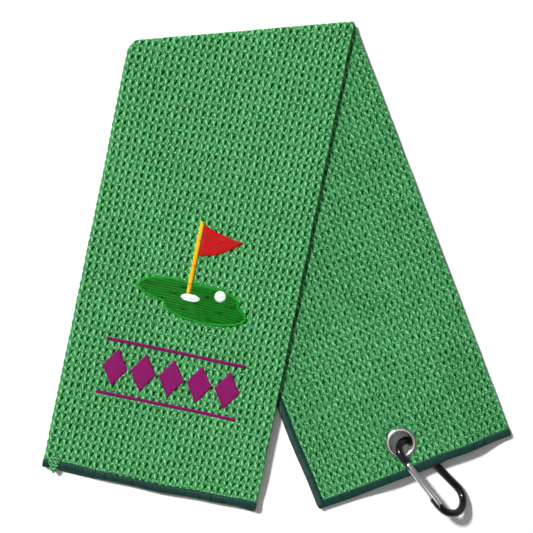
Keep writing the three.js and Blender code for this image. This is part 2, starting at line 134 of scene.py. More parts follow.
def volume_of(points: np.ndarray, faces: list[np.ndarray]) -> float:
    """Signed volume: a sixth of the sum of each fan triangle's triple product.

    Args:
        points: vertices, one row each.
        faces: arrays of vertex numbers, each with one face a row.

    Returns:
        The volume, above nought if the faces point outwards.
    """
    total = 0.0
    for group in faces:
        for k in range(1, group.shape[1] - 1):
            a, b, c = (points[group[:, i]] for i in (0, k, k + 1))
            total += float((a * np.cross(b, c)).sum()) / 6
    return total


def make_piece(name: str, points: np.ndarray, faces: list[np.ndarray], uv: np.ndarray | None = None,
               sharp: float = 180.0) -> bpy.types.Object:
    """Makes a closed mesh piece with its faces outwards.

    Args:
        name: the piece's name.
        points: vertices in millimetres, one row each.
        faces: arrays of vertex numbers, each with one face a row.
        uv: one place in the pattern for each vertex.
        sharp: the angle in degrees from which an edge stays sharp.

    Returns:
        The new object, linked to the scene.
    """
    if volume_of(points, faces) < 0:
        faces = [group[:, ::-1] for group in faces]
    loops = np.concatenate([group.ravel() for group in faces]).astype(np.int32)
    sizes = np.concatenate([np.full(len(group), group.shape[1]) for group in faces])
    starts = np.concatenate([[0], np.cumsum(sizes)[:-1]]).astype(np.int32)
    mesh = bpy.data.meshes.new(name)
    mesh.vertices.add(len(points))
    mesh.vertices.foreach_set("co", (points * MM).astype(np.float32).ravel())
    mesh.loops.add(len(loops))
    mesh.loops.foreach_set("vertex_index", loops)
    mesh.polygons.add(len(starts))
    mesh.polygons.foreach_set("loop_start", starts)
    mesh.update(calc_edges=True)
    mesh.validate()
    if uv is not None:
        corner = np.zeros(len(mesh.loops), np.int32)
        mesh.loops.foreach_get("vertex_index", corner)
        mesh.uv_layers.new(name="pattern").data.foreach_set("uv", uv[corner].astype(np.float32).ravel())
    mesh.shade_smooth()
    if sharp < 180:
        mesh.set_sharp_from_angle(angle=math.radians(sharp))
    LOG.info("%s: %d faces", name, len(mesh.polygons))
    return new_object(name, mesh)


def swept(rings: np.ndarray, closed: bool = False) -> list[np.ndarray]:
    """Faces of a row of rings, joined one to the next, with both ends closed unless the row is a loop.

    Args:
        rings: vertex numbers, one ring a row.
        closed: whether the row of rings is a loop.

    Returns:
        The faces.
    """
    wrapped = np.hstack([rings, rings[:, :1]])
    if closed:
        return [quads(np.vstack([wrapped, wrapped[:1]]))]
    return [quads(wrapped), rings[:1, ::-1], rings[-1:, :]]


def carried(name: str, rings: np.ndarray, uv: np.ndarray | None = None, closed: bool = False,
            sharp: float = 180.0) -> bpy.types.Object:
    """Makes a piece from a row of rings of points.

    Args:
        name: the piece's name.
        rings: points in millimetres, by ring and place round it.
        uv: the place in the pattern of each point, laid out as the points are.
        closed: whether the row of rings is a loop.
        sharp: the angle in degrees from which an edge stays sharp.

    Returns:
        The piece.
    """
    numbers = np.arange(rings.shape[0] * rings.shape[1]).reshape(rings.shape[:2])
    flat = None if uv is None else uv.reshape(-1, 2)
    return make_piece(name, rings.reshape(-1, 3), swept(numbers, closed), flat, sharp)


def lathe(name: str, profile: np.ndarray, centre: np.ndarray, axis: np.ndarray, sides: int = 96,
          closed: bool = True, sharp: float = 50.0) -> bpy.types.Object:
    """A profile of (radius, height) points turned about an axis.

    Args:
        name: the piece's name.
        profile: a closed outline, or one that starts and ends at a small radius near the axis.
        centre: the point on the axis at height 0.
        axis: the axis's direction.
        sides: how many steps the turn has.
        closed: whether the outline closes on itself, as a ring's does.
        sharp: the angle in degrees from which an edge stays sharp.

    Returns:
        The piece.
    """
    axis = axis / np.linalg.norm(axis)
    side = np.cross(axis, [1.0, 0, 0] if abs(axis[0]) < 0.9 else [0, 1.0, 0])
    side /= np.linalg.norm(side)
    other = np.cross(axis, side)
    turn = np.linspace(0, TAU, sides, endpoint=False)
    spoke = np.outer(np.cos(turn), side) + np.outer(np.sin(turn), other)
    points = centre + profile[:, None, :1] * spoke[None] + profile[:, None, 1:] * axis
    return carried(name, points, table(turn[None] * 8, profile[:, 1:]), closed, sharp)


def rounded(corners: list[tuple[float, float]], radius: float, steps: int = 5) -> np.ndarray:
    """Rounds an outline's corners, each by a quadratic curve that starts radius away from it.

    Args:
        corners: the outline's corners.
        radius: how far from a corner its curve starts, at most.
        steps: points on each curve.

    Returns:
        The closed outline.
    """
    points = np.array(corners, float)
    out = []
    for before, here, after in zip(np.roll(points, 1, 0), points, np.roll(points, -1, 0)):
        to_before, to_after = before - here, after - here
        near = [min(radius, 0.45 * np.linalg.norm(v)) for v in (to_before, to_after)]
        a = here + to_before / np.linalg.norm(to_before) * near[0]
        b = here + to_after / np.linalg.norm(to_after) * near[1]
        u = np.linspace(0, 1, steps)[:, None]
        out.append((1 - u) ** 2 * a + 2 * u * (1 - u) * here + u**2 * b)
    return np.vstack(out)


# ---- Shader nodes --------------------------------------------------------------------------------


class Graph:
    """A node tree written as short expressions; every method gives back a socket."""

    def __init__(self, tree: bpy.types.NodeTree) -> None:
        """Starts on an empty tree."""
        self.tree = tree
        tree.nodes.clear()

    def node(self, kind: str, **settings: object) -> bpy.types.Node:
        """A new node with those settings."""
        made = self.tree.nodes.new(kind)
        for key, value in settings.items():
            setattr(made, key, value)
        return made

    def put(self, socket: bpy.types.NodeSocket, value: object) -> None:
        """Links a socket to another, or sets its value."""
        if isinstance(value, bpy.types.NodeSocket):
            self.tree.links.new(value, socket)
        else:
            socket.default_value = value

    def fill(self, node: bpy.types.Node, values: dict[str | int, object]) -> bpy.types.NodeSocket | None:
        """Puts each value or socket into the input of that name or number; gives the first output."""
        for key, value in values.items():
            self.put(node.inputs[key], value)
        return node.outputs[0] if node.outputs else None

    def math(self, operation: str, a: object, b: object = 0.0, clamp: bool = False) -> bpy.types.NodeSocket:
        """One Math node."""
        return self.fill(self.node("ShaderNodeMath", operation=operation, use_clamp=clamp), {0: a, 1: b})

    def add(self, a: object, b: object, clamp: bool = False) -> bpy.types.NodeSocket:
        """The sum of two."""
        return self.math("ADD", a, b, clamp)

    def sub(self, a: object, b: object, clamp: bool = False) -> bpy.types.NodeSocket:
        """The first less the second."""
        return self.math("SUBTRACT", a, b, clamp)

    def mul(self, a: object, b: object) -> bpy.types.NodeSocket:
        """The product of two."""
        return self.math("MULTIPLY", a, b)

    def mix(self, factor: object, a: object, b: object) -> bpy.types.NodeSocket:
        """One colour Mix node."""
        made = self.node("ShaderNodeMix", data_type="RGBA")
        self.fill(made, {0: factor, 6: a, 7: b})
        return made.outputs[2]

    def noise(self, vector: object, scale: float, detail: float = 2.0) -> bpy.types.NodeSocket:
        """A Noise texture's factor."""
        made = self.node("ShaderNodeTexNoise")
        return self.fill(made, {"Vector": vector, "Scale": scale, "Detail": detail})

    def stretch(self, vector: object, scale: tuple[float, float, float]) -> bpy.types.NodeSocket:
        """The vector with its parts multiplied."""
        return self.fill(self.node("ShaderNodeVectorMath", operation="MULTIPLY"), {0: vector, 1: scale})

    def parts(self, vector: object) -> list[bpy.types.NodeSocket]:
        """The vector's three parts."""
        made = self.node("ShaderNodeSeparateXYZ")
        self.fill(made, {0: vector})
        return list(made.outputs)

    def ramp(self, value: object, low: float, high: float) -> bpy.types.NodeSocket:
        """The value rescaled from low...high to 0...1 and held there."""
        return self.fill(self.node("ShaderNodeMapRange", clamp=True), {0: value, 1: low, 2: high})

    def bump(self, shader: bpy.types.Node, height: object, strength: float, distance: float) -> None:
        """Sets a shader's normal from a height."""
        made = self.node("ShaderNodeBump")
        self.fill(made, {"Height": height, "Strength": strength, "Distance": distance})
        self.put(shader.inputs["Normal"], made.outputs[0])

    def group(self, tree: bpy.types.NodeTree, **values: object) -> dict[str, bpy.types.NodeSocket]:
        """A node group with its inputs set; gives its outputs by name."""
        made = self.node("ShaderNodeGroup", node_tree=tree)
        self.fill(made, values)
        return {socket.name: socket for socket in made.outputs}


def new_group(name: str, inputs: dict[str, str], outputs: list[str]) -> tuple[Graph, dict, bpy.types.Node]:
    """Starts a node group: gives its graph, its inputs by name and its output node.

    Args:
        name: the group's name.
        inputs: socket kinds by name.
        outputs: the outputs' names.

    Returns:
        The graph, the inputs and the output node.
    """
    tree = bpy.data.node_groups.new(name, "ShaderNodeTree")
    for key, kind in inputs.items():
        tree.interface.new_socket(name=key, in_out="INPUT", socket_type=kind)
    for key in outputs:
        tree.interface.new_socket(name=key, in_out="OUTPUT", socket_type="NodeSocketFloat")
    graph = Graph(tree)
    start = graph.node("NodeGroupInput")
    return graph, {socket.name: socket for socket in start.outputs}, graph.node("NodeGroupOutput")


def linear(red: int, green: int, blue: int) -> tuple[float, float, float, float]:
    """A colour as the shaders take it, from its 0 to 255 screen values."""
    parts = [c / 255 for c in (red, green, blue)]
    return (*[c / 12.92 if c <= 0.04045 else ((c + 0.055) / 1.055) ** 2.4 for c in parts], 1.0)


@dataclass(frozen=True)
class Stud:
    """One raised or sunken spot of the knit's cell, repeated over the cloth.

    Its strength is e to the power of wide times (cosine across less 1) plus long times (cosine along less 1),
    which is a soft spot that repeats once a cell. lean slides it across as it goes along.
    """

    across: float
    along: float
    wide: float
    long: float
    lean: float

    def strength(self, a: np.ndarray, b: np.ndarray) -> np.ndarray:
        """The spot's strength at a across and b along, in cells."""
        b = TAU * (b - self.along)
        a = TAU * (a - self.across) - self.lean * np.sin(b)
        return np.exp(self.wide * (np.cos(a) - 1) + self.long * (np.cos(b) - 1))

    def nodes(self, graph: Graph, a: object, b: object) -> bpy.types.NodeSocket:
        """The same strength as shader nodes.

        Args:
            graph: the graph.
            a: cells across.
            b: cells along.

        Returns:
            The strength's socket.
        """
        b = graph.mul(graph.sub(b, self.along), TAU)
        a = graph.mul(graph.sub(a, self.across), TAU)
        a = graph.sub(a, graph.mul(graph.math("SINE", b), self.lean))
        wide = graph.mul(graph.sub(graph.math("COSINE", a), 1.0), self.wide)
        long = graph.mul(graph.sub(graph.math("COSINE", b), 1.0), self.long)
        return graph.math("EXPONENT", graph.add(wide, long))


@dataclass(frozen=True)
class Knit:
    """The towel's knit: a small cell with a pit, a long grain beside it and a knot between pits."""

    cell_across: float = 4.4
    cell_along: float = 5.25
    pit: Stud = Stud(0.0, 0.0, 2.3, 0.55, -0.5)
    grain: Stud = Stud(0.6, 0.04, 1.7, 0.42, 0.45)
    knot: Stud = Stud(0.05, 0.5, 1.8, 2.4, 0.0)
    pit_depth: float = 0.72
    grain_height: float = 0.3
    knot_height: float = 0.26
    raggedness: float = 0.3

    def cells(self, u: np.ndarray, v: np.ndarray) -> tuple[np.ndarray, np.ndarray]:
        """Cells across and along, wandering a little by four slow sines so that no row is quite straight.

        Args:
            u: millimetres across.
            v: millimetres along.

        Returns:
            Cells across and cells along.
        """
        a, b = u / self.cell_across, v / self.cell_along
        wander_a = 0.05 * np.sin(0.43 * a + 0.9 * b + 0.4) + 0.03 * np.sin(2.3 * a - 1.1 * b + 2.0)
        wander_b = 0.06 * np.sin(0.7 * a + 0.6 * b + 1.3) + 0.04 * np.sin(0.7 * a - 2.6 * b)
        return a + wander_a, b + wander_b

    def relief(self, a: np.ndarray, b: np.ndarray) -> np.ndarray:
        """Height in millimetres: grain and knot stand up and the pit sinks, each cell by its own share."""
        share = 1 + 0.22 * np.sin(12.9 * np.round(a) + 78.2 * np.round(b))
        up = self.grain_height * self.grain.strength(a, b) + self.knot_height * self.knot.strength(a, b)
        return (up - self.pit_depth * self.pit.strength(a, b)) * share

    def node_tree(self) -> bpy.types.NodeTree:
        """The cell as a node group: how deep in a pit, which masks the painted pit shade, how high on a grain
        or knot, which masks the painted highlight, and the height.
        """
        graph, given, out = new_group("knit_cell", {"Cells": "NodeSocketVector"}, ["Pit", "Light", "Height"])
        a, b, _ = graph.parts(given["Cells"])
        fine = graph.noise(given["Cells"], 2.6, 3.0)
        a = graph.add(a, graph.mul(graph.sub(fine, 0.5), self.raggedness))
        uneven = graph.add(0.75, graph.mul(graph.noise(given["Cells"], 0.85, 1.0), 0.5))
        pit = graph.mul(self.pit.nodes(graph, a, b), uneven)
        grain = self.grain.nodes(graph, a, b)
        knot = self.knot.nodes(graph, a, b)
        light = graph.math("MAXIMUM", grain, knot)
        graph.fill(out, {"Pit": graph.ramp(pit, 0.25, 0.75), "Light": graph.ramp(light, 0.35, 0.95),
                         "Height": graph.sub(light, pit)})
        return graph.tree


def fibre_tree() -> bpy.types.NodeTree:
    """Short loose fibres: two stretched noises, one for shade and height, one for soft patches."""
    graph, given, out = new_group(
        "loose_fibres",
        {"Vector": "NodeSocketVector", "Fineness": "NodeSocketFloat"},
        ["Shade", "Patch"],
    )
    tangle = graph.fill(graph.node("ShaderNodeTexNoise"), {
        "Vector": graph.stretch(given["Vector"], (1.0, 0.55, 1.0)), "Scale": given["Fineness"],
        "Detail": 3.0, "Roughness": 0.68, "Distortion": 0.6})
    finer = graph.mul(given["Fineness"], 2.3)
    fuzz = graph.noise(graph.stretch(given["Vector"], (1.0, 0.6, 1.0)), finer, 1.0)
    both = graph.add(graph.mul(tangle, 0.5), graph.mul(fuzz, 0.5))
    graph.fill(out, {"Shade": both, "Patch": graph.noise(given["Vector"], 0.22)})
    return graph.tree


def thread_tree() -> bpy.types.NodeTree:
    """Rows of thread side by side: a ridge each Pitch, broken where a stitch of Stitch length ends."""
    graph, given, out = new_group(
        "thread_rows",
        {"Vector": "NodeSocketVector", "Pitch": "NodeSocketFloat", "Stitch": "NodeSocketFloat"},
        ["Ridge", "Break", "Lot"],
    )
    x, y, _ = graph.parts(given["Vector"])
    wobble = graph.mul(graph.sub(graph.noise(given["Vector"], 0.6), 0.5), 0.35)
    row = graph.add(graph.math("DIVIDE", x, given["Pitch"]), wobble)
    ridge = graph.math("ABSOLUTE", graph.math("SINE", graph.mul(row, math.pi)))
    number = graph.math("FLOOR", row)
    stagger = graph.math("FRACT", graph.mul(number, 0.37))
    along = graph.math("FRACT", graph.add(graph.math("DIVIDE", y, given["Stitch"]), stagger))
    gap = graph.math("ABSOLUTE", graph.sub(along, 0.5))
    lot = graph.math("FRACT", graph.mul(number, 0.618))
    graph.fill(out, {"Ridge": ridge, "Break": graph.ramp(gap, 0.42, 0.5), "Lot": lot})
    return graph.tree


def wear_tree() -> bpy.types.NodeTree:
    """Handling marks on metal and paint: soft smudges and fine scratches, each from 0 to 1."""
    graph, given, out = new_group("handling_marks", {"Vector": "NodeSocketVector"}, ["Smudge", "Scratch"])
    smudge = graph.noise(given["Vector"], 260.0, 4.0)
    streak = graph.noise(graph.stretch(given["Vector"], (900.0, 900.0, 5200.0)), 1.0, 3.0)
    graph.fill(out, {"Smudge": graph.ramp(smudge, 0.35, 0.7), "Scratch": graph.ramp(streak, 0.56, 0.78)})
    return graph.tree


@dataclass
class Trees:
    """The shared node groups, each built once."""

    knit: bpy.types.NodeTree
    fibre: bpy.types.NodeTree
    thread: bpy.types.NodeTree
    wear: bpy.types.NodeTree


def start_material(name: str) -> tuple[bpy.types.Material, Graph, bpy.types.Node]:
    """A new material with a lone shader in it.

    Args:
        name: the material's name.

    Returns:
        The material, its graph and its shader node.
    """
    material = bpy.data.materials.new(name)
    material.use_nodes = True
    graph = Graph(material.node_tree)
    shader = graph.node("ShaderNodeBsdfPrincipled")
    out = graph.node("ShaderNodeOutputMaterial")
    graph.put(out.inputs["Surface"], shader.outputs["BSDF"])
    return material, graph, shader


@dataclass(frozen=True)
class ClothFinish:
    """Knitted cotton: a painted shade in the pits, a painted highlight on the grains and knots, and loose
    fibres over a middle green.
    """

    name: str
    middle: tuple[int, int, int]
    # pit is a painted shade colour for the knit's pits, and light is a painted highlight colour for its
    # grains and knots; contrast scales both.
    pit: tuple[int, int, int]
    light: tuple[int, int, int]
    contrast: float = 1.0
    loose: float = 3.3
    slot: str = "cloth_green"

    def material(self, trees: Trees) -> bpy.types.Material:
        """The finish on the piece's own pattern map, in cells.

        Args:
            trees: the shared node groups.

        Returns:
            The material.
        """
        material, graph, shader = start_material(self.name)
        cells = graph.node("ShaderNodeUVMap", uv_map="pattern").outputs[0]
        knit = graph.group(trees.knit, Cells=cells)
        fibre = graph.group(trees.fibre, Vector=cells, Fineness=3.5)
        grain = graph.mul(graph.sub(fibre["Shade"], 0.5), self.loose)
        # Masks for the painted highlight on the grains and knots and the painted shade in the pits, each
        # broken up by the loose fibres' random tone.
        light = graph.add(graph.mul(knit["Light"], self.contrast), grain, clamp=True)
        pit = graph.sub(graph.mul(knit["Pit"], self.contrast), grain, clamp=True)
        colour = graph.mix(graph.ramp(fibre["Patch"], 0.35, 0.7), linear(*self.middle),
                           linear(*[int(0.9 * c) for c in self.middle]))
        # Paints the highlight colour on the grains and knots, then the shade colour in the pits.
        colour = graph.mix(light, colour, linear(*self.light))
        colour = graph.mix(pit, colour, linear(*self.pit))
        graph.fill(shader, {"Base Color": colour, "Roughness": 0.95, "Specular IOR Level": 0.0})
        graph.bump(shader, graph.add(graph.mul(knit["Height"], 0.35), fibre["Shade"]), 0.8, 0.0009)
        return material


@dataclass(frozen=True)
class ThreadFinish:
    """Smooth thread laid side by side, as in a hem or in embroidery, with a painted shade between the rows
    and at stitch ends. Pattern lengths are in millimetres.
    """

    name: str
    slot: str
    colour: tuple[int, int, int]
    # shade is a painted shade colour, laid between the thread rows and where stitches end.
    shade: tuple[int, int, int]
    pitch: float = 0.8
    stitch: float = 200.0
    roughness: float = 0.5
    specular: float = 0.12

    def material(self, trees: Trees) -> bpy.types.Material:
        """The finish on the piece's own pattern map.

        Args:
            trees: the shared node groups.

        Returns:
            The material.
        """
        material, graph, shader = start_material(self.name)
        place = graph.node("ShaderNodeUVMap", uv_map="pattern").outputs[0]
        thread = graph.group(trees.thread, Vector=place, Pitch=self.pitch, Stitch=self.stitch)
        fibre = graph.group(trees.fibre, Vector=place, Fineness=2.4)
        # Painted shade between the thread rows and at the stitch ends, plus each row's random tone from its
        # lot.
        dark = graph.sub(1.0, graph.ramp(thread["Ridge"], 0.0, 0.75))
        dark = graph.math("MAXIMUM", dark, thread["Break"])
        dark = graph.add(dark, graph.mul(thread["Lot"], 0.25), clamp=True)
        colour = graph.mix(dark, linear(*self.colour), linear(*self.shade))
        colour = graph.mix(graph.ramp(fibre["Patch"], 0.3, 0.8), colour, linear(*self.colour))
        rough = graph.add(self.roughness - 0.08, graph.mul(fibre["Shade"], 0.25))
        graph.fill(shader, {"Base Color": colour, "Roughness": rough, "Specular IOR Level": self.specular})
        graph.bump(shader, graph.add(thread["Ridge"], graph.mul(fibre["Shade"], 0.3)), 0.6, 0.00025)
        return material


@dataclass(frozen=True)
class HardFinish:
    """Metal or painted metal with handling marks."""

    name: str
    slot: str
    colour: tuple[int, int, int]
    worn: tuple[int, int, int]
    metallic: float
    roughness: float
    coat: float = 0.0
    specular: float = 0.5

    def material(self, trees: Trees) -> bpy.types.Material:
        """The finish on Object coordinates.

        Args:
            trees: the shared node groups.

        Returns:
            The material.
        """
        material, graph, shader = start_material(self.name)
        place = graph.node("ShaderNodeTexCoord").outputs["Object"]
        wear = graph.group(trees.wear, Vector=place)
        rough = graph.add(self.roughness, graph.mul(wear["Smudge"], 0.1))
        graph.fill(shader, {
            "Base Color": graph.mix(wear["Scratch"], linear(*self.colour), linear(*self.worn)),
            "Roughness": graph.add(rough, graph.mul(wear["Scratch"], 0.08)), "Metallic": self.metallic,
            "Specular IOR Level": self.specular, "Coat Weight": self.coat, "Coat Roughness": 0.06})
        graph.bump(shader, wear["Scratch"], 0.12, 0.0001)
        return material


class Finish(Enum):
    """Every finish on the towel."""

    # Cloth: middle green, painted pit shade, painted highlight on grains and knots, the contrast of both, and
    # the loose fibres' random tone.
    FRONT_CLOTH = ClothFinish("front_knit", (58, 136, 74), (0, 44, 10), (138, 220, 154), 1.2, 3.4)
    BACK_CLOTH = ClothFinish("back_knit", (54, 128, 71), (0, 46, 11), (126, 208, 144), 1.0, 4.6)
    # Threads: their own colour, then the painted shade colour between rows and at stitch ends.
    HEM = ThreadFinish("hem_thread", "hem_green", (18, 62, 55), (2, 14, 12), 0.95, 200.0, 0.42, 0.22)
    GREEN = ThreadFinish("green_thread", "thread_green", (6, 114, 14), (0, 30, 0), 1.7, 60.0)
    GREEN_RIM = ThreadFinish("green_rim_thread", "thread_green", (26, 150, 36), (8, 96, 16), 0.8)
    RED = ThreadFinish("red_thread", "thread_red", (196, 22, 22), (128, 4, 6), 0.9, 5.0)
    YELLOW = ThreadFinish("yellow_thread", "thread_yellow", (250, 192, 20), (200, 118, 4), 1.5)
    WHITE = ThreadFinish("white_thread", "thread_white", (240, 243, 242), (190, 204, 202), 0.8)
    PURPLE = ThreadFinish("purple_thread", "thread_purple", (138, 0, 98), (88, 0, 60), 0.9, 6.0)
    NICKEL = HardFinish("bright_nickel", "grommet_nickel", (232, 232, 230), (190, 190, 188), 1.0, 0.12)
    BLACK = HardFinish("black_enamel", "hook_black", (4, 4, 5), (14, 14, 15), 0.0, 0.18, 0.5, 0.25)
    SILVER = HardFinish("satin_silver", "gate_silver", (206, 208, 212), (160, 162, 166), 1.0, 0.28)
    STEEL = HardFinish("bare_steel", "rivet_steel", (176, 178, 182), (120, 122, 126), 1.0, 0.3)


@dataclass
class Paintshop:
    """Makes each finish once and puts it on pieces."""

    trees: Trees
    made: dict[Finish, bpy.types.Material] = field(default_factory=dict)

    def dress(self, piece: bpy.types.Object, finish: Finish, body: str | None,
              *nodes: str) -> bpy.types.Object:
        """Puts a finish on a piece, hides the CAD nodes it stands for, and lets it ride.

        Args:
            piece: the piece.
            finish: its finish.
            body: the body it rides on, or None for a piece between two bodies, which then rides on neither.
            nodes: the CAD nodes it stands for.

        Returns:
            The piece.
        """
        if finish not in self.made:
            self.made[finish] = finish.value.material(self.trees)
        piece.data.materials.clear()
        piece.data.materials.append(self.made[finish])
        if nodes:
            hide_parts(*nodes)
        if body:
            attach(piece, body)
        return piece


# ---- The strip of cloth --------------------------------------------------------------------------


@dataclass(frozen=True)
class Limb:
    """One half of the strip, from the crosswise fold to its end; across it, 0 is the middle."""

    body: str
    angle: float
    length: float
    half_start: float
    half_end: float
    left_turn: float
    outer_flap: float
    flipped: bool

    @property
    def along(self) -> np.ndarray:
        """Level direction away from the fold."""
        return unit(self.angle)

    @property
    def across(self) -> np.ndarray:
        """Level direction a quarter turn on from along."""
        return unit(self.angle + 90)


@dataclass
class Path:
    """The middle line of a run of cloth seen from the strip's end, with its outward normals.

    t is across the strip, z up from the strip's underside, and u the distance along the line from the strip's
    middle, so that a pattern goes round a fold without stretching.
    """

    t: np.ndarray
    z: np.ndarray
    nt: np.ndarray
    nz: np.ndarray
    u: np.ndarray

    def then(self, other: "Path") -> "Path":
        """This path and the next, which starts where this one ends."""
        pairs = [(self.t, other.t), (self.z, other.z), (self.nt, other.nt), (self.nz, other.nz),
                 (self.u, other.u - other.u[0] + self.u[-1])]
        return Path(*[np.concatenate([a, b[1:]]) for a, b in pairs])

    def slid(self, amount: float, way: float = 1.0) -> "Path":
        """The same path with its pattern moved on, and counted the other way if way is -1."""
        return Path(self.t, self.z, self.nt, self.nz, way * (self.u + amount))


def straight(t: np.ndarray, z: float, up: float) -> Path:
    """A level run through those stops, facing up or down."""
    level = np.zeros(len(t))
    return Path(t, level + z, level, level + up, np.abs(t - t[0]))


def turned(t: float, z: float, radius: float, start: float, step: float) -> Path:
    """A half turn about (t, z) from a start angle in degrees, anticlockwise.

    Args:
        t: middle of the turn, across the strip.
        z: its height.
        radius: radius of the middle line.
        start: angle in degrees at which it starts.
        step: from one stop to the next, at most.

    Returns:
        The path.
    """
    count = max(4, math.ceil(math.pi * radius / step)) + 1
    angle = np.radians(start) + np.linspace(0, math.pi, count)
    return Path(t + radius * np.cos(angle), z + radius * np.sin(angle), np.cos(angle), np.sin(angle),
                radius * (angle - angle[0]))


def stops(start: float, end: float, step: float, near: float | None = None, reach: float = 12.0,
          fine: float = 0.75) -> np.ndarray:
    """Stops from start to end, a step apart, with fine ones within reach of near.

    Args:
        start: first stop.
        end: last stop.
        step: from one stop to the next.
        near: place with finer stops.
        reach: how far from it they go.
        fine: from one of them to the next.

    Returns:
        The stops, in order.
    """
    low, high = min(start, end), max(start, end)
    found = np.linspace(low, high, max(2, round((high - low) / step) + 1))
    if near is not None:
        found = found[np.abs(found - near) > reach]
        close = near + fine * (np.arange(-reach / fine, reach / fine) + 0.5)
        found = np.concatenate([found, close, [low, high]])
        found = np.unique(found[(found >= low) & (found <= high)])
    return found if end > start else found[::-1]


@dataclass(frozen=True)
class Grommet:
    """The ring through the back limb's end."""

    s: float = 285.6
    t: float = -1.6
    bore: float = 7.0
    barrel: float = 0.5
    flange: float = 10.0
    grip: float = 2.0
    plate: float = 0.5
    hole: float = 3.0
    opened: float = 7.7
    pinch_end: float = 15.5
    rim_clear: float = 0.2


@dataclass
class Strip:
    """The folded strip: its layers, its two limbs, and the lie of each point on the floor."""

    layer: float = 1.2
    gap: float = 0.1
    half: float = 70.0
    hem: float = 5.3
    overlap: float = 1.1
    inner_flap: float = 62.0
    stack_gap: float = 0.3
    fold_gap: float = 0.12
    lift: float = 5.25
    lift_start: float = 198.0
    lift_full: float = 250.0
    lift_left: tuple[float, float] = (-14.0, -46.0)
    lift_right: tuple[float, float] = (38.0, 66.0)
    drape_full: float = -18.0
    drape_floor: float = -52.0
    corner: float = 7.0
    corner_reach: float = 1.6
    swell_height: float = 0.45
    swell_clear: tuple[float, float] = (20.0, 60.0)
    front: Limb = Limb("towel_front", -101.6, 303.0, 70.2, 70.7, -70.0, -67.0, True)
    back: Limb = Limb("towel_back", -68.65, 307.0, 70.0, 67.4, -67.4, -69.7, False)
    grommet: Grommet = Grommet()
    knit: Knit = Knit()

    def __post_init__(self) -> None:
        """Finds the fold line and the grommet from the frame."""
        hinge = joint("towel_fold")
        axis = -np.array(hinge["axis"][:2])
        self.fold = axis / np.linalg.norm(axis)
        self.out = np.array([-self.fold[1], self.fold[0]])
        self.axis_place = np.array(hinge["pos_m"][:2]) / MM
        self.centre = self.axis_place + self.inset * self.out
        self.ring = middle_of("grommet_eyelet")[:2]

    @property
    def pitch(self) -> float:
        """From one layer to the next."""
        return self.layer + self.gap

    @property
    def thickness(self) -> float:
        """Three layers and the gaps between them."""
        return 3 * self.layer + 2 * self.gap

    @property
    def inset(self) -> float:
        """Height of the crosswise fold's axis, and how far in from the fold line it lies."""
        return self.thickness + self.stack_gap / 2

    def place(self, limb: Limb, s: np.ndarray, t: np.ndarray) -> np.ndarray:
        """Floor place of a point s along a limb and t across it."""
        return self.centre + s[..., None] * limb.along + t[..., None] * limb.across

    def start(self, limb: Limb, t: np.ndarray) -> np.ndarray:
        """Where a limb meets the crosswise fold's axis, and a hair on, so that opened limbs don't rub."""
        return (self.inset + t * (limb.across @ self.out)) / -(limb.along @ self.out) + self.fold_gap

    def end(self, limb: Limb) -> float:
        """How far along a limb its cloth reaches, a little way under the hem."""
        return limb.length - self.hem + self.overlap

    def back_lift(self, s: np.ndarray, t: np.ndarray) -> np.ndarray:
        """Height of the back limb's underside: an S up over the hook's spine, falling away to both sides.

        Args:
            s: along the back limb.
            t: across it.

        Returns:
            Height over the floor.
        """
        flat = np.where(t < 0, self.lift_left[0], self.lift_right[0])
        floor = np.where(t < 0, self.lift_left[1], self.lift_right[1])
        rise = smooth((s - self.lift_start) / (self.lift_full - self.lift_start))
        return self.lift * rise * (1 - smooth((t - flat) / (floor - flat)))

    def height(self, limb: Limb, xy: np.ndarray) -> np.ndarray:
        """Height of a limb's underside over the floor.

        The back limb has its own lift. The front one lies on the back one, and past its left edge it falls to
        the floor in an S. Both share slow swells, which are nought round the grommet.

        Args:
            limb: the limb.
            xy: places on the floor.

        Returns:
            Height over the floor.
        """
        from_fold = xy - self.centre
        s, t = from_fold @ self.back.along, from_fold @ self.back.across
        lift = self.back_lift(s, t)
        if not limb.flipped:
            return lift
        on_back = smooth((t + self.back.half_start - self.drape_floor) / (self.drape_full - self.drape_floor))
        return (self.thickness + self.stack_gap) * on_back + lift

    def swell(self, xy: np.ndarray) -> np.ndarray:
        """Slow swells of relaxed cloth: a product of two sines, held above nought.

        Args:
            xy: places on the floor.

        Returns:
            Height, at most twice swell_height.
        """
        wave = np.sin(xy[..., 0] / 21 + xy[..., 1] / 47 + 0.6) * np.sin(xy[..., 1] / 29 - xy[..., 0] / 83)
        near, far = self.swell_clear
        away = smooth((np.linalg.norm(xy - self.ring, axis=-1) - near) / (far - near))
        return self.swell_height * (1 + wave) * away

    def round_corner(self, xy: np.ndarray) -> np.ndarray:
        """Rounds the fold's left corner: a square of side corner is squeezed into a quarter disc.

        In the square, the larger of the two offsets becomes the distance from the square's inner corner.

        Args:
            xy: places on the floor.

        Returns:
            The places, moved where they are near the corner.
        """
        left = self.place(self.front, self.start(self.front, np.array(-self.half)), np.array(-self.half))
        tip = left + self.inset * self.out
        axes = np.stack([-self.fold, -self.front.along], axis=1) * self.corner
        offset = (xy - (tip - axes.sum(axis=1))) @ np.linalg.inv(axes).T
        far = offset.max(axis=-1)
        inside = (offset > 0).all(axis=-1) & (far < self.corner_reach)
        reach = np.where(inside, np.linalg.norm(offset, axis=-1), 1.0)
        shrink = np.where(inside, far / np.maximum(reach, 1e-9), 1.0)
        moved = tip - axes.sum(axis=1) + (offset * shrink[..., None]) @ axes.T
        return np.where(inside[..., None], moved, xy)

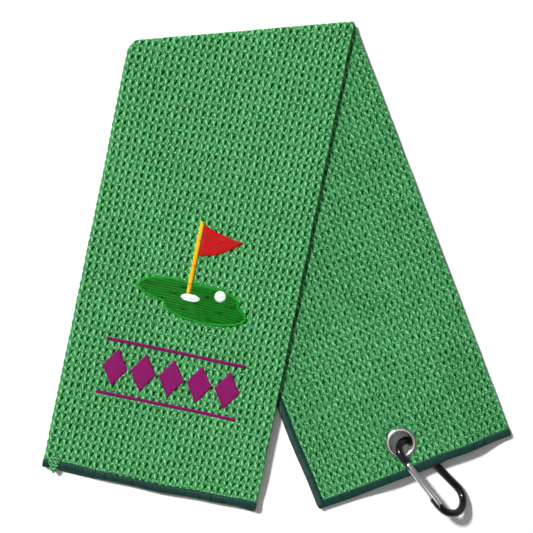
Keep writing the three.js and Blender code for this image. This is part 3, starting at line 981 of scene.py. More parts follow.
    def parts(self, limb: Limb, step: float, near: float | None = None,
              seam: float | None = None) -> dict[str, Path]:
        """The letter fold from its free inner edge to its free outer edge, run by run.

        The inner flap lies in the middle, turns left into the centre panel underneath, which turns right
        into the outer flap on top. The free edges end a seam's width inside the hems' outer edges.

        Args:
            limb: the limb.
            step: from one stop across to the next.
            near: a place across with finer stops.
            seam: how far inside the edges it ends, if not at the hems' seam.

        Returns:
            The runs by name.
        """
        low, middle, high = (k * self.pitch + self.layer / 2 for k in range(3))
        left_r, right_r = (middle - low) / 2, (high - low) / 2
        left = limb.left_turn + left_r + self.layer / 2
        right = self.half - right_r - self.layer / 2
        seam = self.hem - self.overlap if seam is None else seam
        return {
            "inner": straight(stops(self.inner_flap - seam, left, step, near), middle, 1.0),
            "left": turned(left, low + left_r, left_r, 90, step),
            "centre": straight(stops(left, right, step, near), low, -1.0),
            "right": turned(right, low + right_r, right_r, -90, step),
            "outer": straight(stops(right, limb.outer_flap + seam, step, near), high, 1.0),
        }

    def stations(self, limb: Limb, path: Path, share: np.ndarray) -> np.ndarray:
        """How far along a limb the stations of each column are; share is 0 at the fold and 1 at the hem."""
        begin = self.start(limb, path.t)[None]
        return begin + share[:, None] * (self.end(limb) - begin)

    def lay(self, limb: Limb, path: Path, share: np.ndarray, off: np.ndarray | float) -> np.ndarray:
        """Lays a run of cloth out on the floor.

        Args:
            limb: the limb it belongs to.
            path: the run, seen from the strip's end.
            share: for each station, how far along the limb it is, from 0 at the fold to 1 at the hem.
            off: how far each point stands outside the middle line.

        Returns:
            Points in millimetres, by station and column.
        """
        s = self.stations(limb, path, share)
        return self.lay_at(limb, s, path.t[None] + path.nt * off, path.z[None] + path.nz * off)

    def lay_at(self, limb: Limb, s: np.ndarray, t: np.ndarray, z: np.ndarray) -> np.ndarray:
        """Lays points s along, t across and z up the strip out on the floor.

        Args:
            limb: the limb.
            s: distance along it.
            t: distance across it.
            z: height above the strip's underside.

        Returns:
            Points in millimetres.
        """
        if limb.flipped:
            z = self.thickness - z
        half = limb.half_start + (limb.half_end - limb.half_start) * s / limb.length
        xy = self.place(limb, s, t * half / self.half)
        if not limb.flipped:
            xy, z = self.round_ring(xy, z)
        up = z + self.height(limb, xy) + self.swell(xy)
        return np.concatenate([self.round_corner(xy), up[..., None]], axis=-1)

    def round_ring(self, xy: np.ndarray, z: np.ndarray) -> tuple[np.ndarray, np.ndarray]:
        """Squeezes the layers between the grommet's flanges, and opens a round hole for its barrel.

        Inside the flange, distance from the grommet's middle is rescaled to run from the hole's rim outwards.

        Args:
            xy: places on the floor.
            z: heights above the strip's underside.

        Returns:
            The places and heights, moved where they are near the grommet.
        """
        ring = self.grommet
        offset = xy - self.ring
        far = np.linalg.norm(offset, axis=-1)
        loose = smooth((far - ring.flange - ring.rim_clear) / (ring.pinch_end - ring.flange))
        flat = (ring.grip - self.gap) / self.thickness
        z = self.thickness / 2 + (z - self.thickness / 2) * (flat + (1 - flat) * loose)
        opened = ring.opened + far * (1 - ring.opened / ring.flange)
        scale = np.where(far < ring.flange, opened / np.maximum(far, 1e-6), 1.0)
        return self.ring + offset * scale[..., None], z


def shell(outer: np.ndarray, inner: np.ndarray, pick: np.ndarray,
          holes: list[tuple[int, int, int, int]]) -> tuple[np.ndarray, list[np.ndarray]]:
    """A closed layer of cloth between an outer and an inner surface that share their stations.

    Args:
        outer: points by station and column.
        inner: points by station and by those columns that are in pick.
        pick: the outer columns that the inner surface has.
        holes: (first station, last station, first column, last column) of each hole, all in pick.

    Returns:
        All the points, and the faces.
    """
    rows, columns = outer.shape[:2]
    top = np.arange(rows * columns).reshape(rows, columns)
    low = rows * columns + np.arange(rows * len(pick)).reshape(rows, len(pick))
    keep_top = np.ones((rows - 1, columns - 1), bool)
    keep_low = np.ones((rows - 1, len(pick) - 1), bool)
    faces = [
        quads(np.stack([low[:, 0], top[:, 0]], axis=1)),
        quads(np.stack([top[:, -1], low[:, -1]], axis=1)),
    ]
    for r0, r1, c0, c1 in holes:
        k0, k1 = np.searchsorted(pick, [c0, c1])
        keep_top[r0:r1, c0:c1] = False
        keep_low[r0:r1, k0:k1] = False
        faces += [
            quads(np.stack([top[r0, c0 : c1 + 1], low[r0, k0 : k1 + 1]])),
            quads(np.stack([low[r1, k0 : k1 + 1], top[r1, c0 : c1 + 1]])),
            quads(np.stack([top[r0 : r1 + 1, c0], low[r0 : r1 + 1, k0]], axis=1)),
            quads(np.stack([low[r0 : r1 + 1, k1], top[r0 : r1 + 1, c1]], axis=1)),
        ]
    faces += [quads(top)[keep_top.ravel()], quads(low)[keep_low.ravel()][:, ::-1]]
    for k, (a, b) in enumerate(zip(pick[:-1], pick[1:])):
        first = np.concatenate([top[0, a : b + 1][::-1], low[0, [k, k + 1]]])
        last = np.concatenate([top[-1, a : b + 1], low[-1, [k + 1, k]]])
        faces += [first[None], last[None]]
    return np.concatenate([outer.reshape(-1, 3), inner.reshape(-1, 3)]), faces


@dataclass
class Cloth:
    """The knitted cloth: for each limb a face that shows and the layers under it, and the crosswise fold."""

    strip: Strip
    shop: Paintshop
    fine: float = 0.76
    coarse: float = 3.0
    inner_every: int = 5
    ring_reach: float = 12.0
    back_relief: float = 0.85
    fold_over: float = 0.035
    face_width: float = 0.0
    sheets: dict[str, tuple] = field(default_factory=dict)
    fold_layers: list[bpy.types.Object] = field(default_factory=list)

    def layer(self, name: str, columns: int, cells: tuple[np.ndarray, np.ndarray],
              lay: Callable[[np.ndarray | float], np.ndarray], relief: float,
              near: np.ndarray | None = None, holes: list[tuple] | None = None) -> bpy.types.Object:
        """A closed layer of cloth with the knit standing on its outer side.

        Args:
            name: the piece's name.
            columns: how many columns the layer has.
            cells: the knit's cells across and along, by station and column.
            lay: gives points from how far they stand outside the middle line.
            relief: share of the knit's full height.
            near: columns that the inner side needs besides every fifth one.
            holes: the holes, as shell takes them.

        Returns:
            The piece.
        """
        half = self.strip.layer / 2
        outer = lay(half + relief * self.strip.knit.relief(*cells))
        extra = np.zeros(0, int) if near is None else near
        pick = np.unique(np.concatenate([np.arange(0, columns, self.inner_every), extra, [columns - 1]]))
        points, faces = shell(outer, lay(-half)[:, pick], pick, holes or [])
        uv = table(*cells)
        uv = np.concatenate([uv.reshape(-1, 2), uv[:, pick].reshape(-1, 2)])
        return make_piece(name, points, faces, uv)

    def run(self, name: str, limb: Limb, path: Path, rows: np.ndarray, relief: float, finish: Finish,
            *nodes: str) -> bpy.types.Object:
        """Makes one run of cloth, a layer thick, with the knit standing on its outer side.

        Args:
            name: the piece's name.
            limb: its limb.
            path: the run seen from the strip's end.
            rows: how far along the limb each station is, from 0 to 1.
            relief: share of the knit's full height.
            finish: the cloth's finish.
            nodes: the CAD nodes it stands for.

        Returns:
            The piece, recorded in sheets.
        """
        strip = self.strip
        s = strip.stations(limb, path, rows)
        cells = strip.knit.cells(np.broadcast_to(path.u, s.shape), s)
        pinched = np.flatnonzero(np.abs(path.t - strip.grommet.t) < self.ring_reach)
        near, holes = (None, None) if limb.flipped else (pinched, self.holes(s, path))
        piece = self.layer(name, len(path.t), cells, lambda off: strip.lay(limb, path, rows, off), relief,
                           near, holes)
        self.shop.dress(piece, finish, limb.body, *nodes)
        width = abs(path.u[-1] - path.u[0])
        length = float((strip.end(limb) - strip.start(limb, path.t)).mean())
        on = ["towel_back_cloth_top"] if limb.flipped else ["floor"]
        self.sheets[name] = (piece, (width * MM, length * MM), on)
        return piece

    def holes(self, s: np.ndarray, path: Path) -> list[tuple[int, int, int, int]]:
        """The stations and columns to leave out at the grommet, once for each level run that passes it.

        Args:
            s: how far along the limb each station is, by station and column.
            path: the run seen from the end.

        Returns:
            The holes, as shell takes them.
        """
        ring = self.strip.grommet
        level = np.abs(path.nt) < 1e-9
        inside = level & (np.abs(path.t - ring.t) < ring.hole)
        edges = np.flatnonzero(np.diff(np.concatenate([[0], inside.astype(int), [0]])))
        found = []
        for c0, c1 in edges.reshape(-1, 2):
            rows = np.flatnonzero(np.abs(s[:, c0] - ring.s) < ring.hole)
            found.append((rows[0], rows[-1], c0, c1 - 1))
        return found

    def rows(self, limb: Limb, step: float, near: float | None = None) -> np.ndarray:
        """Stations along a limb as shares of its length, with fine ones near a place.

        Args:
            limb: the limb.
            step: from one station to the next.
            near: a place with finer stations.

        Returns:
            The shares.
        """
        end = self.strip.end(limb)
        begin = float(self.strip.start(limb, np.array(self.strip.grommet.t)))
        found = stops(begin, end, step, near)
        return (found - begin) / (end - begin)

    def make(self) -> None:
        """Makes the limbs' cloth and the crosswise fold, and records each limb piece and the fold's outer
        layer in sheets.
        """
        strip, ring = self.strip, self.strip.grommet
        front, back = strip.front, strip.back
        face = self.joined(front, ["left", "centre", "right"], self.fine)
        self.face_width = float(face.u[-1] - face.u[0])
        self.run("towel_front_cloth_top", front, face, self.rows(front, self.fine), 1.0, Finish.FRONT_CLOTH,
                 "towel_front_half")
        coarse = strip.parts(front, self.coarse)
        for flap in ("inner", "outer"):
            self.run(f"towel_front_{flap}_flap", front, coarse[flap], self.rows(front, self.coarse), 0.0,
                     Finish.FRONT_CLOTH, "towel_front_half")
        fine = strip.parts(back, self.fine, ring.t)
        coarse = strip.parts(back, self.coarse, ring.t)
        face = fine["right"].then(fine["outer"])
        middle = float(np.interp(0, -face.t[12:], face.u[12:]))
        self.run("towel_back_cloth_top", back, face.slid(-middle, -1.0), self.rows(back, self.fine, ring.s),
                 self.back_relief, Finish.BACK_CLOTH, "towel_back_half")
        under = coarse["inner"].then(coarse["left"]).then(coarse["centre"])
        self.run("towel_back_under_layers", back, under, self.rows(back, self.coarse, ring.s), 0.0,
                 Finish.BACK_CLOTH, "towel_back_half")
        self.crosswise()

    def crosswise(self) -> None:
        """The crosswise fold: each layer carried round the fold's axis from the back limb to the front one.

        A point starts where the back limb's layer meets the axis and goes half round it, keeping its
        distance, while it slides along the axis to where the front limb's layer starts.
        """
        strip = self.strip
        limbs = (strip.front, strip.back)
        full = strip.inset - strip.layer / 2
        layers = {
            "outer": (0, ["left", "centre", "right"], self.fine, 20),
            "middle": (1, ["inner"], self.coarse, 14),
            "inner": (2, ["outer"], self.coarse, 12),
        }
        made = []
        for name, (level, runs, step, steps) in layers.items():
            path = self.joined(strip.front, runs, step)
            edges = [limb.outer_flap if name == "inner" else limb.left_turn for limb in limbs]
            back_t = np.where(path.t < 0, path.t * edges[1] / edges[0], path.t)
            turn = np.linspace(-self.fold_over, math.pi + self.fold_over, steps)
            s = strip.start(strip.front, path.t)[None] - full * (math.pi - turn)[:, None]
            cells = strip.knit.cells(np.broadcast_to(path.u, s.shape), s)
            piece = self.layer(f"crosswise_fold_{name}", len(path.t), cells,
                               lambda off: self.round_axis(path, back_t, turn, off), float(name == "outer"))
            self.shop.dress(piece, Finish.FRONT_CLOTH, None, f"fold_bend_{name}")
            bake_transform(piece)
            made.append(piece)
        flat = (self.face_width * MM, math.pi * full * MM)
        self.sheets["crosswise_fold_outer"] = (made[0], flat, ["towel_back_cloth_top"])
        self.fold_layers = made[1:]

    def joined(self, limb: Limb, runs: list[str], step: float) -> Path:
        """Joins runs of a limb's letter fold; where there are three, its pattern counts from their middle.

        Args:
            limb: the limb.
            runs: the runs' names, in order.
            step: from one stop across to the next.

        Returns:
            The path.
        """
        parts = self.strip.parts(limb, step)
        path = parts[runs[0]]
        for run in runs[1:]:
            path = path.then(parts[run])
        if len(runs) == 3:
            return path.slid(-float(np.interp(0, path.t[8:-8], path.u[8:-8])))
        return path

    def round_axis(self, path: Path, back_t: np.ndarray, turn: np.ndarray,
                   off: np.ndarray | float) -> np.ndarray:
        """Points at each angle of the turn round the fold's axis, and each column.

        Args:
            path: the layer as the front limb has it.
            back_t: where the same columns are across the back limb.
            turn: the angles, from 0 underneath to pi on top.
            off: how far each point stands outside the layer's middle line.

        Returns:
            Points in millimetres.
        """
        strip = self.strip
        share = (turn / math.pi)[:, None]
        ends = []
        for limb, column in ((strip.back, back_t), (strip.front, path.t)):
            s = np.broadcast_to(strip.start(limb, column)[None], (len(turn), len(column)))
            t = column[None] + path.nt * off
            half = limb.half_start + (limb.half_end - limb.half_start) * s / limb.length
            ends.append((strip.place(limb, s, t * half / strip.half) - strip.axis_place) @ strip.fold)
        along = ends[0] * (1 - share) + ends[1] * share
        away = strip.inset - (path.z[None] + path.nz * off)
        xy = strip.axis_place + along[..., None] * strip.fold
        xy = xy + (away * np.sin(turn)[:, None])[..., None] * strip.out
        z = strip.inset - away * np.cos(turn)[:, None] + strip.swell(xy)
        return np.concatenate([strip.round_corner(xy), z[..., None]], axis=-1)


def round_tube(around: int, squareness: float = 2.0) -> tuple[np.ndarray, np.ndarray]:
    """A closed cross-section of unit half-width and half-height: a superellipse of that power.

    Args:
        around: how many points it has.
        squareness: the power; 2 is an ellipse.

    Returns:
        How far out to the side and up each point is.
    """
    turn = np.linspace(0, TAU, around, endpoint=False)
    power = 2.0 / squareness
    wide, high = np.cos(turn), np.sin(turn)
    return np.sign(wide) * np.abs(wide) ** power, np.sign(high) * np.abs(high) ** power


@dataclass
class Hems:
    """Overlocked hems: a flat tube round each raw edge, ridged by its threads, with a zigzag inner edge."""

    strip: Strip
    shop: Paintshop
    thread: float = 0.95
    samples: int = 4
    around: int = 14
    bulge: float = 0.7
    back_less: float = 0.25
    half_thick: float = 0.62
    ridge: float = 0.1
    zigzag: float = 0.45
    end_length: float = 1.4

    def tube(self, name: str, limb: Limb, along: np.ndarray,
             place: Callable[[np.ndarray, np.ndarray], np.ndarray], bulge: np.ndarray,
             node: str) -> bpy.types.Object:
        """Sweeps the hem's cross-section along an edge.

        The half-width and half-thickness shrink as a quarter circle at both ends. Each thread adds a ridge,
        the absolute value of a sine of the distance along the edge.

        Args:
            name: the piece's name.
            limb: the limb it is on.
            along: distance along the edge of each ring.
            place: gives points from (distance in from the edge, distance out of the cloth).
            bulge: for each ring, how much more the outer side stands out.
            node: the CAD node it stands for.

        Returns:
            The piece.
        """
        wide, high = round_tube(self.around, 2.7)
        left = np.minimum(along - along[0], along[-1] - along) / self.end_length
        cap = round_end(left, 0.02)
        ridge = np.abs(np.sin(math.pi * along / self.thread))[:, None] ** 0.8
        zigzag = np.abs(2 * ((along / (2 * self.thread)) % 1) - 1)[:, None]
        half = self.strip.hem / 2
        inward = half - wide * half * cap
        inward = inward + np.where(wide < 0, -wide, 0) * self.zigzag * zigzag * cap
        inward = inward - np.where(wide > 0, wide, 0) * 0.5 * self.ridge * ridge
        thick = np.where(high > 0, self.half_thick + bulge[:, None], self.half_thick)
        outward = high * (thick + self.ridge * (ridge - 0.5) * (high > 0)) * cap
        girth = np.linspace(0, 2 * self.strip.hem, self.around)
        piece = carried(name, place(inward, outward), table(along[:, None], girth[None]))
        return self.shop.dress(piece, Finish.HEM, limb.body, node)

    def end_hem(self, name: str, limb: Limb, node: str) -> bpy.types.Object:
        """The hem across a limb's end, which follows the letter fold's three layers.

        Args:
            name: the piece's name.
            limb: the limb.
            node: the CAD node it stands for.

        Returns:
            The piece.
        """
        strip = self.strip
        parts = strip.parts(limb, 0.5, seam=0.3)
        path = parts.pop("inner")
        for run in parts.values():
            path = path.then(run)
        along = np.arange(path.u[0], path.u[-1], self.thread / self.samples)
        t, z, nt, nz = (np.interp(along, path.u, v)[:, None] for v in (path.t, path.z, path.nt, path.nz))
        facing = -nz if limb.flipped else nz * smooth((z - 2.0) / 1.0)
        wave = 0.6 * np.sin(t / 19 + 1.0 + 0.9 * z) + 0.25 * np.sin(t / 6.3 + 0.7 * z)

        def place(inward: np.ndarray, outward: np.ndarray) -> np.ndarray:
            """In from the limb's end and out along the layer's normal."""
            return strip.lay_at(limb, limb.length + wave - inward, t + nt * outward, z + nz * outward)

        bulge = self.bulge if limb.flipped else self.bulge - self.back_less
        return self.tube(name, limb, along, place, bulge * np.clip(facing[:, 0], 0, 1), node)

    def flap_hem(self, name: str, limb: Limb, edge: float, inward_sign: float, level: int, node: str,
                 coarse: bool = False) -> bpy.types.Object:
        """The hem down a flap's free edge, from the crosswise fold to the end hem.

        Args:
            name: the piece's name.
            limb: the limb.
            edge: where the edge is, across the limb.
            inward_sign: 1 if the cloth lies on the side of greater t, or -1.
            level: the layer's number from the bottom, from 0.
            node: the CAD node it stands for.
            coarse: whether it is hidden, and needs few rings.

        Returns:
            The piece.
        """
        strip = self.strip
        begin = float(strip.start(limb, np.array([edge, edge + inward_sign * strip.hem])).max())
        step = 2.0 if coarse else self.thread / self.samples
        along = np.arange(begin, limb.length - 1.2, step)
        z = level * strip.pitch + strip.layer / 2
        wave = (0.35 * np.sin(along / 23) + 0.2 * np.sin(along / 9 + 1))[:, None]

        def place(inward: np.ndarray, outward: np.ndarray) -> np.ndarray:
            """In from the flap's edge and up from its middle."""
            t = edge + inward_sign * (inward + wave)
            return strip.lay_at(limb, np.broadcast_to(along[:, None], t.shape), t, z + outward)

        shown = level == 2 and not limb.flipped
        bulge = np.full(len(along), self.bulge if shown else 0.0)
        return self.tube(name, limb, along, place, bulge, node)

    def make(self) -> dict[str, list[bpy.types.Object]]:
        """Makes all the hems and gives those that go with each sheet of cloth."""
        strip = self.strip
        made = {}
        back = ("back", strip.back, "cloth_top", "under_layers")
        front = ("front", strip.front, "outer_flap", "inner_flap")
        for side, limb, outer_sheet, inner_sheet in (back, front):
            end = self.end_hem(f"{side}_end_hem_thread", limb, f"{side}_end_hem")
            outer = self.flap_hem(f"{side}_outer_flap_hem_thread", limb, limb.outer_flap, 1, 2,
                                  f"{side}_outer_flap_hem")
            inner = self.flap_hem(f"{side}_inner_flap_hem_thread", limb, strip.inner_flap, -1, 1,
                                  f"{side}_inner_flap_hem", True)
            made[f"towel_{side}_cloth_top"] = [end]
            made.setdefault(f"towel_{side}_{outer_sheet}", []).append(outer)
            made[f"towel_{side}_{inner_sheet}"] = [inner]
        return made


# ---- Embroidery ----------------------------------------------------------------------------------


def bowed(a: tuple[float, float], b: tuple[float, float], bow: tuple[float, float], count: int) -> np.ndarray:
    """Points from a up to b on a quadratic curve whose middle is pulled by bow.

    Args:
        a: where it starts.
        b: where it would end, which is left out.
        bow: how far its middle is pulled.
        count: how many points it has.

    Returns:
        The points.
    """
    a, b, bow = (np.array(v, float) for v in (a, b, bow))
    u = np.linspace(0, 1, count, endpoint=False)[:, None]
    middle = (a + b) / 2 + bow
    return (1 - u) ** 2 * a + 2 * u * (1 - u) * middle + u**2 * b


@dataclass
class Embroidery:
    """Thread work on the front limb: a putting green with its flag, cup and ball, and a row of lozenges.

    Outlines are (s, t) points in millimetres: s down the limb and t across it.
    """

    strip: Strip
    shop: Paintshop
    thread: float = 0.8
    sink: float = 0.5
    low: float = 0.75
    high: float = 1.45

    def cover(self, st: np.ndarray, up: np.ndarray) -> np.ndarray:
        """Points over the front limb's upper face, up millimetres above it."""
        return self.strip.lay_at(self.strip.front, st[..., 0], st[..., 1], -up)

    def pad(self, name: str, outline: np.ndarray, top: float, finish: Finish, lean: float,
            *nodes: str, scale: float = 1.0) -> bpy.types.Object:
        """A pad of satin stitches over an outline that all shows from its middle.

        Rings shrink from the outline to the middle. The top falls away at the rim as the root of 1 less the
        eighth power of the ring's share, and each thread adds the absolute value of a sine.

        Args:
            name: the piece's name.
            outline: (s, t) points round the pad.
            top: height of the pad over the cloth's face.
            finish: the thread.
            lean: direction of the threads in degrees from across the limb.
            nodes: the CAD nodes it stands for.
            scale: of the pattern, in its own units to a millimetre.

        Returns:
            The piece.
        """
        middle = outline.mean(axis=0)
        size = float(np.linalg.norm(outline - middle, axis=1).max())
        rings = max(6, int(size / 0.45))
        share = np.linspace(1, 0.02, rings)
        st = middle + share[:, None, None] * (outline - middle)[None]
        turn = math.radians(lean)
        over = (st - middle) @ np.array([math.cos(turn), math.sin(turn)])
        along = (st - middle) @ np.array([-math.sin(turn), math.cos(turn)])
        rise = np.sqrt(np.clip(1 - share**8, 0, 1))[:, None]
        up = (top + 0.1 * (np.abs(np.sin(math.pi * over / self.thread)) - 0.5)) * (0.25 + 0.75 * rise)
        under = np.full(up[:2].shape, -self.sink)
        points = self.cover(np.concatenate([st[-1:], st[:1], st]), np.concatenate([under, up]))
        flat = table(over, along) * scale
        piece = carried(name, points, np.concatenate([flat[-1:], flat[:1], flat]))
        return self.shop.dress(piece, finish, "towel_front", *nodes)

    def cord_of_thread(self, name: str, line: np.ndarray, width: float, top: float, finish: Finish,
                       *nodes: str, closed: bool = False) -> bpy.types.Object:
        """A band of satin stitches along a line: a flat tube with a ridge for each thread across it.

        Args:
            name: the piece's name.
            line: (s, t) points along its middle, evenly spaced.
            width: the band's width.
            top: height over the cloth's face.
            finish: the thread.
            nodes: the CAD nodes it stands for.
            closed: whether the line is a loop.

        Returns:
            The piece.
        """
        wide, high = round_tube(12, 2.4)
        far, aside = along_line(line, closed)
        left = np.ones(len(far)) if closed else np.minimum(far, far[-1] - far) / (0.6 * width)
        cap = round_end(left, 0.03)
        ridge = np.abs(np.sin(math.pi * far / self.thread))[:, None]
        st = line[:, None] + aside[:, None] * (wide * width / 2 * cap)[..., None]
        up = np.where(high > 0, high * (top + 0.09 * ridge), high * self.sink) * cap
        piece = carried(name, self.cover(st, up), table(far[:, None], wide * width), closed)
        return self.shop.dress(piece, finish, "towel_front", *nodes)

    def green_outline(self, shrink: float, count: int = 220) -> np.ndarray:
        """The putting green: the outline round three overlapping ellipses, left, upper right and lower right.

        From a middle that all hold, each ellipse is met at some distance; the distances are blended by the
        eighteenth root of the sum of their eighteenth powers.

        Args:
            shrink: how far inside the full outline it runs.
            count: how many points it has.

        Returns:
            The outline.
        """
        turn = np.linspace(0, TAU, count, endpoint=False)
        ds, dt = np.cos(turn), np.sin(turn)
        middle_s, middle_t = 177.0, 6.0
        power = 18
        reach = np.zeros(count)
        for s, t, half_s, half_t in ((173.8, -9, 8.4, 24.2), (174.8, 12, 8.6, 22), (182.2, 12.5, 9, 27.5)):
            half_s, half_t = half_s - shrink, half_t - shrink
            off_s, off_t = (middle_s - s) / half_s, (middle_t - t) / half_t
            a = (ds / half_s) ** 2 + (dt / half_t) ** 2
            b = off_s * ds / half_s + off_t * dt / half_t
            reach += ((np.sqrt(b**2 - a * (off_s**2 + off_t**2 - 1)) - b) / a) ** power
        reach = reach ** (1 / power)
        return table(middle_s + reach * ds, middle_t + reach * dt)

    def ellipse(self, s: float, t: float, half_s: float, half_t: float, count: int = 64) -> np.ndarray:
        """An ellipse about (s, t)."""
        turn = np.linspace(0, TAU, count, endpoint=False)
        return table(s + half_s * np.cos(turn), t + half_t * np.sin(turn))

    def flag_outline(self) -> np.ndarray:
        """The flag: two bowed edges from its tip to the pole."""
        high, low, tip = (127.9, 1.6), (148.4, 1.6), (134.6, 28.5)
        edges = [bowed(low, tip, (6.0, 0), 40), bowed(tip, high, (2.2, 0), 40), bowed(high, low, (0, 0), 24)]
        return np.concatenate(edges)

    def lozenge(self, s: float, t: float, half_s: float, half_t: float) -> np.ndarray:
        """A lozenge about (s, t)."""
        tips = [(s + half_s, t), (s, t + half_t), (s - half_s, t), (s, t - half_t)]
        return np.concatenate([bowed(a, b, (0, 0), 16) for a, b in zip(tips, tips[1:] + tips[:1])])

    def tuft(self) -> bpy.types.Object:
        """The loose lump of knit that hangs over the hem at the front limb's left corner."""
        turn = np.linspace(0, TAU, 90, endpoint=False)
        rim = 1 + 0.12 * np.sin(3 * turn + 1) + 0.07 * np.sin(7 * turn)
        outline = table(298.6 + 5.6 * rim * np.cos(turn), -62.5 + 3.6 * rim * np.sin(turn))
        return self.pad("corner_tuft", outline, 1.4, Finish.FRONT_CLOTH, 0, scale=0.42)

    def make(self) -> list[bpy.types.Object]:
        """Makes every motif."""
        pole = table(np.linspace(126, 174, 241), 0.0)
        made = [
            self.pad("green_fill", self.green_outline(0.3), self.low, Finish.GREEN, 0, "embroidered_green"),
            self.cord_of_thread("green_rim", self.green_outline(0.9, 620), 1.9, self.low + 0.12,
                                Finish.GREEN_RIM, "embroidered_green", closed=True),
            self.pad("cup", self.ellipse(176, 1.9, 2.6, 6.6), self.low + 0.45, Finish.WHITE, 0,
                     "embroidered_cup"),
            self.pad("ball", self.ellipse(171.4, 20.6, 3.9, 3.9), self.high, Finish.WHITE, 20,
                     "embroidered_ball"),
            self.pad("flag", self.flag_outline(), self.low + 0.15, Finish.RED, 0, "embroidered_flag"),
            self.cord_of_thread("pole", pole, 3.0, self.high, Finish.YELLOW, "embroidered_pole"),
        ]
        for i in range(5):
            outline = self.lozenge(230, (i - 2) * 18.4, 12.5, 8.4)
            made.append(self.pad(f"lozenge_{i + 1}_stitches", outline, self.low, Finish.PURPLE, 45,
                                 f"lozenge_{i + 1}"))
        made.append(self.tuft())
        for name, s in (("upper", 212.5), ("lower", 247.5)):
            bar = table(float(s), np.linspace(-46, 46, 461))
            made.append(self.cord_of_thread(f"bar_{name}", bar, 2.2, self.low, Finish.PURPLE,
                                            f"motif_bar_{name}"))
        return made


# ---- Grommet and hook ----------------------------------------------------------------------------


@dataclass
class RingMaker:
    """The grommet: an eyelet with a rolled flange on top, and the washer it is set into underneath."""

    grommet: Grommet
    shop: Paintshop
    corner: float = 0.55

    def make(self) -> None:
        """Turns both pieces from rounded outlines about the grommet's axis."""
        ring = self.grommet
        low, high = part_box("grommet_eyelet")
        centre = middle_of("grommet_eyelet")
        top = high[2] / MM - centre[2]
        seat = top - ring.plate - 0.05
        foot = low[2] / MM - centre[2]
        barrel = ring.bore + ring.barrel
        eyelet = [(ring.bore, foot), (barrel, foot), (barrel, seat - 0.1), (ring.flange - 0.15, seat - 0.1),
                  (ring.flange, seat + 0.25), (ring.flange - 1.1, top + 0.12), (barrel + 0.6, top + 0.15),
                  (ring.bore, top - 0.35)]
        low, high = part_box("grommet_washer")
        base, crown = (v[2] / MM - centre[2] for v in (low, high))
        washer = [(barrel + 0.1, base), (ring.flange - 0.8, base - 0.05), (ring.flange, crown - 0.2),
                  (ring.flange - 0.2, crown), (barrel + 0.1, crown)]
        outlines = {"eyelet": rounded(eyelet, self.corner, 7), "washer": rounded(washer, 0.3, 5)}
        for name, outline in outlines.items():
            piece = lathe(name, outline, centre, np.array([0, 0, 1.0]))
            self.shop.dress(piece, Finish.NICKEL, "towel_back", f"grommet_{name}")


